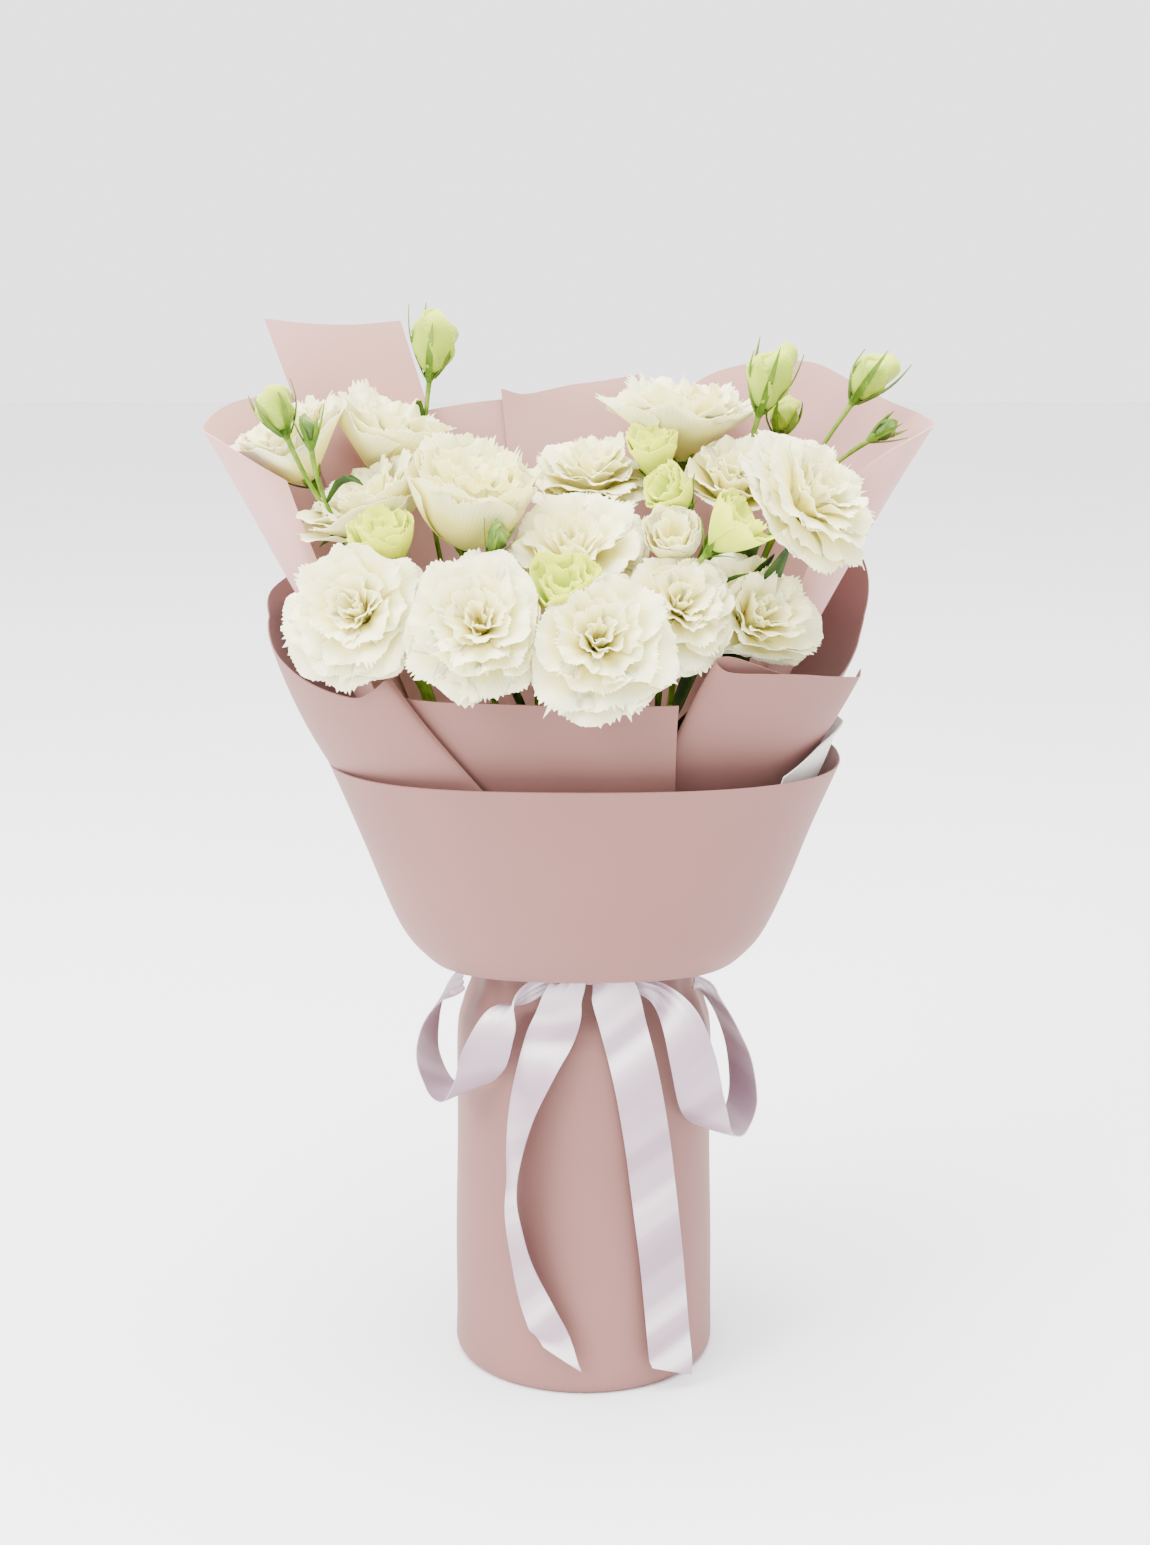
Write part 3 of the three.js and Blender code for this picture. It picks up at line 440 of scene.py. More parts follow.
# Each petal finish's third colour is the tone half way along the petal, and also the colour of the
# shade painted in its folds
PETAL_WHITE = petal_finish(
    "white_petal", (0.66, 0.7, 0.13), (0.96, 0.87, 0.34), (1.0, 0.96, 0.55), (0.97, 0.95, 0.88)
)
PETAL_CREAM = petal_finish(
    "cream_petal", (0.56, 0.64, 0.06), (0.93, 0.82, 0.2), (0.99, 0.94, 0.46), (0.97, 0.95, 0.86)
)
PETAL_GREEN = petal_finish(
    "green_petal", (0.36, 0.5, 0.01), (0.6, 0.73, 0.013), (0.85, 0.92, 0.045), (0.9, 0.93, 0.7)
)
BUD_GREEN = petal_finish(
    "bud_green", (0.2, 0.31, 0.008), (0.36, 0.48, 0.01), (0.58, 0.66, 0.024), (0.86, 0.9, 0.66)
)
TIP_GREEN = petal_finish(
    "tip_green", (0.035, 0.085, 0.004), (0.07, 0.145, 0.006), (0.15, 0.24, 0.011), (0.84, 0.9, 0.7)
)
STEM_GREEN = green_finish(
    "stem_green", (0.035, 0.08, 0.006), (0.07, 0.14, 0.01), (0.16, 0.25, 0.025), 0.6
)
LEAF_GREEN = green_finish(
    "leaf_green", (0.005, 0.018, 0.002), (0.012, 0.034, 0.003), (0.028, 0.065, 0.007), 0.65
)
ANTHER_GOLD = green_finish(
    "anther_gold", (0.5, 0.22, 0.02), (0.65, 0.33, 0.05), (0.8, 0.5, 0.15), 0.6
)


# Sleeve: a tube of paper, gathered to the tie, whose wrapped edge steps down at the back

SLEEVE_FOOT = [[66, 0], [70.2, 0], [71.8, 1.4], [73.2, 3.6]]
SLEEVE_OUTSIDE = [
    [73.8, 6],
    [73.8, 66],
    [72.3, 130],
    [72, 188],
    [68.5, 207],
    [NECK_RADIUS, 226],
    [NECK_RADIUS, SLEEVE_TOP],
]
SLEEVE_SEAM = math.radians(118)
SLEEVE_LAP = 0.9
SLEEVE_PLEATS = 16
SLEEVE_PLEAT_DEPTH = 0.9
SLEEVE_GATHERED = (176, 224)
SLEEVE_FLOOR = 1.2
SLEEVE_SIDES = 168


def sleeve_loop(radius, height):
    angle = full_turn(SLEEVE_SIDES)[0]
    gathered = smoothstep(height, *SLEEVE_GATHERED) * SLEEVE_PLEAT_DEPTH
    pleats = np.cos(angle * SLEEVE_PLEATS + 2 * np.sin(angle * 3)) - 1
    lap = ((angle - SLEEVE_SEAM) / (2 * math.pi)) % 1
    stepped = SLEEVE_LAP * (1 - lap) * smoothstep(height, 3, 30)
    uneven = 0.35 * soft_waves(angle * radius, height, 4, 130) * smoothstep(height, 8, 60)
    reach = radius + gathered * pleats - stepped + uneven
    return np.stack([reach * np.cos(angle), reach * np.sin(angle), height + 0 * angle], -1)


def sleeve():
    outside = np.vstack([SLEEVE_FOOT, smooth_through(SLEEVE_OUTSIDE, 8)])
    inside = [[r - PAPER, max(h, SLEEVE_FLOOR)] for r, h in outside[2:]][::-1]
    loops = np.stack([sleeve_loop(r, h) for r, h in [*outside, *inside]])
    points, faces = pole_skin(loops, [0, 0, 0], [0, 0, SLEEVE_FLOOR])
    piece = make_piece("sleeve", points, faces, PAPER_PINK)
    dress(piece, "paper", "paper_sleeve")


# Collar: a wide band of paper that turns in under itself to the tie

COLLAR_PROFILE = [
    [64.5, 257],
    [71.2, 240.8],
    [81, 233.9],
    [91.7, 241.3],
    [103.6, 258.2],
    [121.5, 300.5],
    [140.7, 345.2],
]
COLLAR_FRONT_LIFT = 8
COLLAR_SIDE_LIFT = 4.5
COLLAR_FRONT_DEPTH = 0.83
COLLAR_BACK_DEPTH = 0.6
COLLAR_SEAM = math.radians(62)
COLLAR_LAP = 1.2
COLLAR_PLEATS = 18
COLLAR_PLEAT_DEPTH = 0.8
COLLAR_GATHERED = (66, 92)
COLLAR_OPENS = (80, 140)
COLLAR_SQUARENESS = 2.4
COLLAR_UNEVEN = 0.7
COLLAR_SIDES = 200


def collar():
    profile = smooth_through(COLLAR_PROFILE, 9)
    radius, height = profile[:, :1], profile[:, 1:]
    angle = full_turn(COLLAR_SIDES)
    opened = smoothstep(radius, *COLLAR_OPENS)
    depth = np.where(np.sin(angle) < 0, COLLAR_FRONT_DEPTH, COLLAR_BACK_DEPTH)
    depth = mix(1, depth, opened)
    power = 2 / mix(2, COLLAR_SQUARENESS, opened)
    front = np.maximum(0, -np.sin(angle)) ** 2
    lift = COLLAR_FRONT_LIFT * front * smoothstep(radius, 66, 80)
    lift = lift + COLLAR_SIDE_LIFT * (1 - front) * smoothstep(radius, 104, 140)
    gathered = COLLAR_PLEAT_DEPTH * (1 - smoothstep(radius, *COLLAR_GATHERED))
    pleats = gathered * np.cos(angle * COLLAR_PLEATS + 2 * np.sin(angle * 5))
    lap = ((angle - COLLAR_SEAM) / (2 * math.pi)) % 1
    uneven = COLLAR_UNEVEN * soft_waves(angle * radius, height * 0.7, 9, 150) * opened
    reach = radius + pleats + uneven - COLLAR_LAP * (1 - lap) * opened
    aside = reach * squarer(np.cos(angle), power)
    behind = reach * squarer(np.sin(angle), power) * depth
    grid = np.stack([aside, behind, height + lift + 0 * angle], -1)
    points, faces = thick(grid, PAPER, closed=True)
    dress(make_piece("collar", points, faces, PAPER_PINK), "paper", "paper_collar")


# Sheets of paper, one inside another on flared surfaces whose plan is wide, rounded and flat at
# the back. A rib of a sheet has its angle at the top, half way up and at the tie, the height of
# its top and, where the sheet is curled, how far its top is curled inward.

LEFT_WRAP = [
    [134, 126, 120, 447],
    [144, 140, 138, 445],
    [154, 151, 150, 440],
    [166, 164, 164, 434],
    [180, 178, 178, 425],
    [192, 194, 194, 417],
    [203, 207, 209, 410],
    [213, 220, 224, 403],
    [222, 232, 240, 399],
    [229, 242, 256, 398],
    [234, 251, 268, 403],
    [236.5, 254, 273, 408, 2.5],
    [237, 255.5, 277, 409, 6.5],
]
FRONT_PANEL = [
    [237, 236, 232, 398],
    [245, 246, 244, 397],
    [254, 255, 256, 397],
    [263, 264, 268, 396.5],
    [272, 274, 282, 396],
    [279, 283, 295, 396],
    [283.5, 290, 306, 396],
]
FRONT_RIGHT = [
    [313, 309, 308, 404, 8],
    [302, 298, 298, 412, 8.5],
    [293, 289, 291, 419, 7.5],
    [289.5, 284, 286.5, 418, 5],
    [292, 284.5, 286.5, 412, 0.5],
    [300, 295, 296, 410],
    [310, 306, 305, 408],
    [320, 316, 314, 405],
    [331, 326, 322, 402],
    [339, 333, 328, 400, 0.5],
    [342, 336, 330, 403, 3],
]
RIGHT_WRAP = [
    [326, 326, 322, 392],
    [338, 338, 335, 396],
    [350, 350, 350, 402],
    [360, 360, 362, 413],
    [372, 372, 374, 430],
    [386, 386, 387, 450],
    [400, 401, 403, 466],
    [412, 415, 419, 460],
]
BACK_RIGHT = [
    [338, 334, 332, 502, 26],
    [340, 338, 336, 510, 19],
    [343.5, 342, 341, 518, 13],
    [348, 347, 347, 525, 6],
    [356, 355, 353, 530],
    [370, 366, 362, 532],
    [390, 382, 374, 538],
    [405, 394, 387, 549],
    [418, 408, 400, 559],
    [434, 425, 413, 551],
    [444, 438, 430, 514],
]
LEFT_ROLLED = [
    [200, 203, 207, 502, 24],
    [198, 200.5, 203, 509, 17],
    [194.5, 196, 198, 516, 11],
    [189, 190, 192, 523, 5],
    [182, 183, 185, 527],
    [172, 174, 176, 530],
    [154, 158, 162, 538],
    [147, 149, 152, 540],
    [140, 140, 142, 542],
    [132, 130, 129, 541],
]
BACK_LEFT = [
    [137.5, 144, 152, 583],
    [129, 133, 139, 580],
    [120, 121, 124, 579],
    [112, 110.5, 109, 581],
]
BACK_MIDDLE = [
    [112, 117, 124, 531],
    [104, 105, 110, 535],
    [96, 94, 94, 538],
]
BACK_CENTRE = [
    [99.5, 101, 103, 543],
    [96, 96, 97, 540],
    [90, 86, 82, 546],
    [84.5, 74, 66, 551],
]
INNER_LINER = [
    [318, 318, 316, 352],
    [330, 330, 328, 362],
    [341, 341, 340, 369],
    [352, 352, 352, 371],
    [364, 364, 364, 368],
]

# Each sheet's layer, then "at", "wide", "front", "back" and "belly" of its plan, the share of its
# curl left at the tie, and its ribs
SHEETS = {
    "paper_left_wrap": (0, (425, 173, 122, 78, 0.62), 0, LEFT_WRAP),
    "paper_front_panel": (1, (396, 152, 106, 76, 0.5), 0, FRONT_PANEL),
    "paper_front_right": (2, (402, 155, 101, 76, 0.28), 0.3, FRONT_RIGHT),
    "paper_right_wrap": (3, (424, 155, 92, 74, 0.3), 0, RIGHT_WRAP),
    "paper_back_right": (4, (531, 187, 92, 71, -0.25), 0, BACK_RIGHT),
    "paper_left_rolled": (1, (528, 205, 92, 72, -0.05), 0, LEFT_ROLLED),
    "paper_back_left": (2, (582, 225, 92, 73, 0), 0, BACK_LEFT),
    "paper_back_middle": (1, (535, 195, 92, 79, 0.15), 0, BACK_MIDDLE),
    "paper_back_centre": (2, (547, 200, 92, 76, 0.15), 0, BACK_CENTRE),
    "inner_liner": (0, (364, 136, 106, 76, 0.62), 0, INNER_LINER),
}
RIB_STEPS = 9
SHEET_ROWS = 34
SHEET_WAVES = 1.1
WAVE_PITCH = 95
MEAN_RADIUS = 110
SHEET_SQUARENESS = 2.5
TIE_ROOM = 0.95
SKIRT_DROPS = (14, 7)
# Sheets that take the lighter copy of the pink paper, with backlight painted into its colour
PAINTED_BACKLIT_SHEETS = (
    "paper_back_left",
    "paper_back_middle",
    "paper_back_centre",
    "paper_left_rolled",
    "paper_back_right",
)


def layer_radius(layer):
    return NECK_RADIUS - PAPER - TIE_ROOM - PAPER / 2 - LAYER_STEP * layer


def flare_points(layer, plan, angle, height, inset):
    at, wide, front, back, belly = plan
    tied = layer_radius(layer)
    share = np.maximum(0, (height - SLEEVE_TOP) / (at - SLEEVE_TOP))
    opened = share + belly * share * (1 - np.minimum(1, share))
    power = 2 / mix(2, SHEET_SQUARENESS, np.minimum(1, opened))
    turn = np.radians(angle)
    depth = np.where(np.sin(turn) < 0, front, back)
    aside = (mix(tied, wide, opened) - inset) * squarer(np.cos(turn), power)
    behind = (mix(tied, depth, opened) - inset) * squarer(np.sin(turn), power)
    return np.stack([aside, behind, height + 0 * angle], -1)


def sheet_grid(layer, plan, tuck, ribs, seed):
    ribs = smooth_through([[*rib, 0][:5] for rib in ribs], RIB_STEPS)
    top, middle, tie, top_height, curl = (column[None, :] for column in ribs.T)
    share = np.linspace(0, 1, SHEET_ROWS)[:, None]
    angle = (
        2 * (share - 0.5) * (share - 1) * tie
        - 4 * share * (share - 1) * middle
        + 2 * share * (share - 0.5) * top
    )
    height = mix(SLEEVE_TOP, top_height, share)
    around = np.radians(angle) * MEAN_RADIUS
    inset = curl * mix(tuck, 1, share**2)
    inset = inset + share * SHEET_WAVES * soft_waves(around, height, seed, WAVE_PITCH)
    rows = flare_points(layer, plan, angle, height, inset)
    skirt = [
        flare_points(layer, plan, tie, np.full_like(tie, SLEEVE_TOP - drop), curl * tuck)
        for drop in SKIRT_DROPS
    ]
    return np.vstack([*skirt, rows])


def sheets():
    for seed, (node, (layer, plan, tuck, ribs)) in enumerate(SHEETS.items()):
        kind, place = node.split("_", 1)
        if kind == "inner":
            slot, finish = "liner", LINER_WHITE
        else:
            # Back sheets take the copy of the paper with painted backlight: lighter colour for
            # light shining through them
            slot, finish = "paper", PAPER_PINK_PAINTED_BACKLIT if node in PAINTED_BACKLIT_SHEETS else PAPER_PINK
        points, faces = thick(sheet_grid(layer, plan, tuck, ribs, seed), PAPER)
        dress(make_piece("sheet_" + place, points, faces, finish), slot, node)


# Satin ribbon: band, knot, two loops and two tails.
# A station is a centre, a direction across the ribbon and, where it is gathered, its width.

TAIL_LEFT = [
    [-6, -69.4, 241, 0.9, 0, 0.3, 15],
    [-11.5, -72, 230, 1, 0, 0.12, 21],
    [-15, -74, 217, 0.95, 0.1, 0.3],
    [-24, -75, 196, 0.8, -0.4, 0.4],
    [-33, -74, 170, 0.6, -0.75, 0.3],
    [-38, -76, 145, 0.35, -0.93, 0.1],
    [-39.5, -77, 124, 0.22, -0.97, 0],
    [-38.5, -76, 103, 0.4, -0.9, -0.15],
    [-34, -75.5, 80, 0.55, -0.75, -0.3],
    [-25, -77, 53, 0.75, -0.45, -0.45],
    [-12, -78, 24, 0.85, -0.2, -0.5],
]
TAIL_RIGHT = [
    [12.5, -69.4, 241, 1, 0, 0.1, 15],
    [16, -71.5, 233, 1, 0, 0.1],
    [21, -73.5, 214, 1, 0, 0.16],
    [28, -73, 185, 1, 0.1, 0.18],
    [34, -72, 150, 1, 0.15, 0.15],
    [38, -71, 118, 1, 0.2, 0.12],
    [42, -70, 84, 1, 0.3, 0.08],
    [45, -69, 52, 1, 0.35, 0.04],
    [47, -69, 30, 1, 0.35, -0.1],
    [49, -68, 12, 1, 0.35, -0.35],
]
LOOP_LEFT = [
    [-5.4, -66.6, 240.5, 0, 0, 1, 7],
    [-18, -67.6, 238, -0.1, -0.1, 1, 9],
    [-31, -68.5, 231, 0.4, -0.2, 0.9, 13],
    [-45, -70.5, 216, 0.85, -0.15, 0.5, 20],
    [-53, -70.5, 198, 0.95, -0.1, 0.3],
    [-60, -66, 181, 0.8, 0.5, -0.1],
    [-69, -57, 171, 0.6, 0.8, 0.1],
    [-79, -48, 173, 0.45, 0.9, 0],
    [-86, -41, 188, 0.42, 0.9, 0],
    [-84, -37, 206, 0.35, 0.93, 0.05],
    [-76, -36, 222, 0.2, 0.9, 0.3, 20],
    [-66, -40, 231, -0.1, 0.5, 0.8, 12],
]
LOOP_RIGHT = [
    [13.4, -66.2, 240.5, 0, 0, 1, 7],
    [27, -66.5, 236.5, 0.1, 0, 1, 8],
    [41, -66, 230, 0.45, 0.05, 0.9, 13],
    [52, -66.5, 215, 0.95, 0.1, 0.35, 21],
    [59, -67, 192, 1, 0.1, 0.2],
    [64, -64, 168, 0.95, -0.1, 0.2],
    [71, -55, 150, 0.8, -0.6, 0],
    [81, -44, 146, 0.6, -0.8, 0.1],
    [88, -35, 160, 0.55, -0.83, 0],
    [86, -31, 184, 0.5, -0.87, 0],
    [78, -32, 206, 0.35, -0.9, 0.1],
    [68, -38, 223, 0.2, -0.8, 0.4, 18],
    [60, -46, 232, 0.1, -0.6, 0.8, 11],
]
RIBBON_COLUMNS = 11
RIBBON_STEPS = 8
RIBBON_CUPPED = 0.5
RIBBON_PLEATED = 0.6
HALF_PLEATS = 3.5
SQUARED_STEPS = 6


def ribbon(name, stations):
    """A strip through the stations, cupped a little, and finely pleated where it is gathered."""
    full = [[*row[:6], row[6] if len(row) > 6 else RIBBON_WIDTH] for row in stations]
    path = smooth_through(full, RIBBON_STEPS)
    centre, width = path[:, :3], path[:, 6:]
    along = unit(np.gradient(centre, axis=0))
    guide = unit(path[:, 3:6])
    square = guide - along * (guide * along).sum(1, keepdims=True)
    ends = np.minimum(np.arange(len(path)), np.arange(len(path))[::-1])[:, None]
    across = unit(mix(guide, square, smoothstep(ends, 0, SQUARED_STEPS)))
    out = np.cross(along, across)
    place = np.linspace(-1, 1, RIBBON_COLUMNS)[None, :]
    spare = np.sqrt(np.maximum(0, (RIBBON_WIDTH / width) ** 2 - 1))
    pleats = spare * np.cos(place * HALF_PLEATS * math.pi) * RIBBON_PLEATED
    lift = RIBBON_CUPPED * (1 - place**2) + pleats
    grid = (
        centre[:, None]
        + across[:, None] * (place * width / 2)[..., None]
        + out[:, None] * lift[..., None]
    )
    points, faces = thick(grid, RIBBON)
    run = np.append(0, np.cumsum(np.linalg.norm(np.diff(centre, axis=0), axis=1))) * MM
    size = grid.shape[:2]
    attributes = {
        "across": on_both_faces(place, size),
        "along": on_both_faces(run[:, None], size),
    }
    piece = make_piece(name, points, faces, SATIN, attributes)
    dress(piece, "ribbon", "ribbon_" + name)


BAND_LOW = 238.0
BAND_HIGH = 251.0
BAND_RADIUS = 64.0
BAND_SIDES = 144
BAND_ROWS = 41
BAND_PLEATS = 5
BAND_PLEAT_DEPTH = 0.8


def ribbon_band():
    """The ribbon goes round the neck gathered into small pleats."""
    angle = full_turn(BAND_SIDES)
    share = np.linspace(0, 1, BAND_ROWS)[:, None]
    pleats = BAND_PLEAT_DEPTH * np.sin(
        share * BAND_PLEATS * 2 * math.pi + 0.8 * np.sin(angle * 4)
    )
    height = mix(BAND_LOW, BAND_HIGH, share) + 0.5 * np.sin(angle * 3)
    reach = BAND_RADIUS + pleats
    grid = np.stack([reach * np.cos(angle), reach * np.sin(angle), height], -1)
    points, faces = thick(grid, RIBBON, closed=True)
    size = grid.shape[:2]
    run = np.abs(angle - math.pi) * BAND_RADIUS * MM
    attributes = {"across": on_both_faces(share, size), "along": on_both_faces(run, size)}
    piece = make_piece("band", points, faces, SATIN, attributes)
    dress(piece, "ribbon", "ribbon_band")


KNOT = (4, -66.4, 240.5)
KNOT_HALF = (7.5, 1.9, 5)
KNOT_FOLD = 0.07
KNOT_SIDES = 40
KNOT_ROWS = 20


def knot():
    """A small flat knot: a rounded lozenge with the folds of the ribbon across it."""
    wide, deep, high = KNOT_HALF
    turn = full_turn(KNOT_SIDES)
    lift = np.linspace(-1, 1, KNOT_ROWS + 2)[1:-1, None] * math.pi / 2
    folds = 1 + KNOT_FOLD * np.cos(np.sin(turn) * 9) * np.cos(lift)
    body = [
        wide * np.sin(lift) + 0 * turn,
        -deep * np.cos(lift) ** 0.6 * np.cos(turn) * folds,
        high * np.cos(lift) ** 0.6 * np.sin(turn) * folds,
    ]
    loops = np.stack(body, -1) + np.array(KNOT)
    ends = [np.array(KNOT) + [side * wide, 0, 0] for side in (-1, 1)]
    points, faces = pole_skin(loops, *ends)
    seen = (points[:, 2] - KNOT[2]) / high
    attributes = {"across": seen, "along": points[:, 0] * MM}
    dress(make_piece("knot", points, faces, SATIN, attributes), "ribbon", "ribbon_knot")


# Flower heads: kind, centre, facing and reach. A bud's or tip's centre is its foot, and its last
# number is its length.

HEADS = {
    "bloom_front_left": ("rosette", (-115, -88, 441), (-0.3, -0.85, 0.45), 33),
    "bloom_front_midleft": ("rosette", (-53, -107, 437), (-0.05, -0.88, 0.5), 35),
    "bloom_front_midright": ("rosette", (6, -111, 430), (0.05, -0.85, 0.5), 36),
    "bloom_front_right": ("rosette", (48, -80, 443), (0.2, -0.8, 0.55), 30),
    "bloom_low_right": ("rosette", (87, -60, 433), (0.45, -0.7, 0.6), 33),
    "bloom_right": ("rosette", (114, -56, 494), (0.6, -0.52, 0.62), 35),
    "bloom_middle": ("rosette", (-6, -56, 464), (0, -0.6, 0.8), 38),
    "bloom_midleft": ("goblet", (-60, -46, 485), (0.15, -0.25, 0.95), 34),
    "bloom_left": ("cup", (-112, -20, 482), (-0.35, -0.2, 0.9), 34),
    "bloom_back_left": ("cup", (-106, 20, 514), (0.35, 0, 0.9), 34),
    "bloom_far_left": ("cup", (-156, -3, 513), (-0.5, -0.2, 0.85), 31),
    "bloom_back_middle": ("rosette", (3, 2, 498), (0, -0.3, 1), 32),
    "bloom_back_right": ("cup", (54, 26, 525), (0, -0.1, 1), 34),
    "bloom_midright": ("cup", (79, -4, 498), (0.1, -0.45, 0.85), 27),
    "bloom_small": ("half", (46, -64, 473), (0, -0.7, 0.7), 20),
    "half_left": ("half", (-104, -63, 470), (-0.1, -0.35, 0.9), 22),
    "half_front": ("half", (-10, -91, 449), (-0.1, -0.6, 0.8), 24),
    "half_right": ("half", (73, -84, 482), (0.65, -0.2, 0.7), 19),
    "half_nodding": ("half", (47, -46, 496), (-0.5, -0.5, 0.5), 16),
    "half_back": ("half", (37, -4, 512), (-0.2, -0.3, 0.95), 19),
    "bud_top_left": ("bud", (-84, 31, 555), (0.15, 0, 1), 12.5, 30),
    "bud_far_left": ("bud", (-157, -38, 530), (-0.35, 0, 0.93), 10, 21),
    "bud_top_right": ("bud", (95, 4, 538), (0.25, 0, 0.95), 12.5, 32),
    "bud_round_right": ("bud", (107, 24, 524), (0.2, 0, 1), 8.5, 17),
    "bud_far_right": ("bud", (147, 12, 543), (0.55, 0, 0.8), 11, 26),
    "tip_left": ("tip", (-143, -42, 525), (-0.1, 0, 1), 4.5, 13),
    "tip_right": ("tip", (157, 0, 523), (0.85, 0, 0.5), 5, 13),
    "tip_middle": ("tip", (-47, -80, 472), (0.35, -0.4, 0.85), 5.5, 16),
}
BASE_BELOW = {"rosette": 0.5, "cup": 0.55, "goblet": 0.55, "half": 0.65}
LEAST_ROOM = 0.5
RIMS_NEAR = 8

# Rings of petals: petals, length in reaches, lean from the axis at the root and at the rim in
# degrees, how far the rim falls away between petals, how strongly it is ruffled, and how far the
# last of it rolls outward in degrees
PETAL_RINGS = {
    "rosette": [
        (5, 1.3, 36, 100, 0.14, 0.5, 12),
        (5, 1.28, 30, 90, 0.16, 0.65, 10),
        (5, 1.24, 24, 69, 0.18, 0.65, 12),
        (5, 1.15, 19, 46, 0.18, 0.6, 14),
        (4, 1.04, 15, 24, 0.18, 0.5, 12),
        (3, 0.9, 11, 3, 0.18, 0.45, 10),
    ],
    "cup": [
        (4, 1.45, 52, 50, 0.1, 0.4, 16),
        (5, 1.42, 42, 42, 0.14, 0.6, 24),
        (5, 1.36, 30, 34, 0.18, 0.9, 26),
        (4, 1.2, 18, 26, 0.2, 1.0, 26),
        (3, 1.0, 8, 18, 0.22, 1.0, 26),
    ],
    "goblet": [
        (4, 1.66, 66, 8, 0.08, 0.35, 14),
        (4, 1.64, 56, 6, 0.12, 0.5, 34),
        (5, 1.6, 44, 4, 0.16, 0.8, 38),
        (4, 1.45, 28, 6, 0.2, 0.9, 30),
        (3, 1.2, 12, 8, 0.2, 0.9, 26),
    ],
    "half": [
        (4, 1.5, 46, 8, 0.12, 0.35, 10),
        (4, 1.42, 34, 6, 0.14, 0.5, 16),
        (3, 1.3, 22, 4, 0.18, 0.6, 16),
    ],
}

# Folded paper or another branch beside a head: a direction that points through it, and a point
# of it that the head's petals keep behind
BESIDE = [
    ("bloom_far_left", (-0.55, -0.5, -0.67), (-168, -27, 507)),
    ("bloom_far_left", (0.05, -0.96, 0.25), (-153, -35.5, 519)),
    ("bloom_low_right", (0.1, -0.6, -0.8), (97, -76, 411)),
]
RIM_ROOM = 7


class Head:
    def __init__(self, name, index, kind, centre, facing, reach, length=0):
        self.name = name
        self.index = index
        self.kind = kind
        self.reach = reach
        self.length = length
        self.centre = np.array(centre, float)
        self.axis = unit(np.array(facing, float))
        helper = np.array([0, 0, 1.0] if abs(self.axis[2]) < 0.85 else [0, -1.0, 0])
        self.side = unit(np.cross(helper, self.axis))
        self.up = np.cross(self.axis, self.side)
        self.base = self.centre - self.axis * BASE_BELOW.get(kind, 0) * reach

    def ring(self, out, rise, turn):
        """Points at so far out and up from the base, turned about the head's axis."""
        outward = self.side * np.cos(turn)[..., None] + self.up * np.sin(turn)[..., None]
        return self.base + self.axis * rise[..., None] + outward * out[..., None]


heads = [Head(name, i, *row) for i, (name, row) in enumerate(HEADS.items())]
open_heads = [head for head in heads if head.kind in PETAL_RINGS]


def neighbour_planes(head):
    """The planes that share the room between neighbouring heads."""
    planes = []
    for other in open_heads:
        toward = other.centre - head.centre
        distance = np.linalg.norm(toward)
        if other is head or distance > head.reach + other.reach + RIMS_NEAR:
            continue
        even = (distance**2 + head.reach**2 - other.reach**2) / (2 * distance)
        least = LEAST_ROOM * head.reach
        most = distance - LEAST_ROOM * other.reach
        room = (least + most) / 2 if least > most else min(max(even, least), most)
        toward = toward / distance
        planes.append((toward, toward @ head.centre + room))
    for name, through, edge in BESIDE:
        if name == head.name:
            through = unit(np.array(through, float))
            planes.append((through, through @ np.array(edge, float) - RIM_ROOM))
    return planes


def press_back(points, planes, softness=13, air=0.4, give=8):
    """Points that would cross far into a neighbour's room are pressed back softly.

    The rims of two heads give a little way to each other, as petals do that lie between petals.
    """
    for _ in range(2):
        for toward, offset in planes:
            beyond = points @ toward - offset - give
            room = softness - air
            pressed = -softness + room * (1 - np.exp(-(beyond + softness) / room))
            shift = np.where(beyond > -softness, pressed - beyond, 0)
            points = points + shift[..., None] * toward
    return points


# Petals: a coarse grid whose last rows near the rim are three times as fine, for the fringe

PETAL_COLUMNS = 22
FINE_COLUMNS = PETAL_COLUMNS * 3
COARSE_AT = [0.0, 0.11, 0.22, 0.33, 0.44, 0.55, 0.65, 0.74, 0.82, 0.885, 0.935]
FINE_AT = [0.97, 1.0]

# Where each point of the fine grid is, from the root to the rim and from side to side
SHARE = np.array([*COARSE_AT, *FINE_AT])[:, None]
ACROSS = np.linspace(-1, 1, FINE_COLUMNS + 1)[None, :]

# The teeth and scallops of the rim, as shares of the petal's length
LONG_TEETH = 9
TOOTH = 0.045
LEAST_LONG_TOOTH = 0.01
UNEVEN_RIM = 0.014
SCALLOP = 0.05

# Half a petal's thickness, and where it starts from the axis; each inner ring starts further
# in and up
HALF_THICK_AT_ROOT = 0.34
HALF_THICK_AT_RIM = 0.15
ROOT_OUT = 2.9
ROOT_STEP_IN = 0.4
ROOT_STEP_UP = 1.1

# How the draws of one petal spread, and its width at the root as a share of the rim's
LEAN_SPREAD = (-11, 9)
ROLL_SPREAD = (0.3, 1.5)
LENGTH_SPREAD = (0.9, 1.06)
LAP_SPREAD = (1.35, 1.6)
TURN_SPREAD = (-0.12, 0.12)
ROOT_WIDTH = 0.72

# How far its slow and quick waves and its frill stand off, and how askew it sits, in reaches
SLOW_WAVE = 0.065
QUICK_WAVE = 0.06
FRILL = 0.04
ASKEW = 0.03


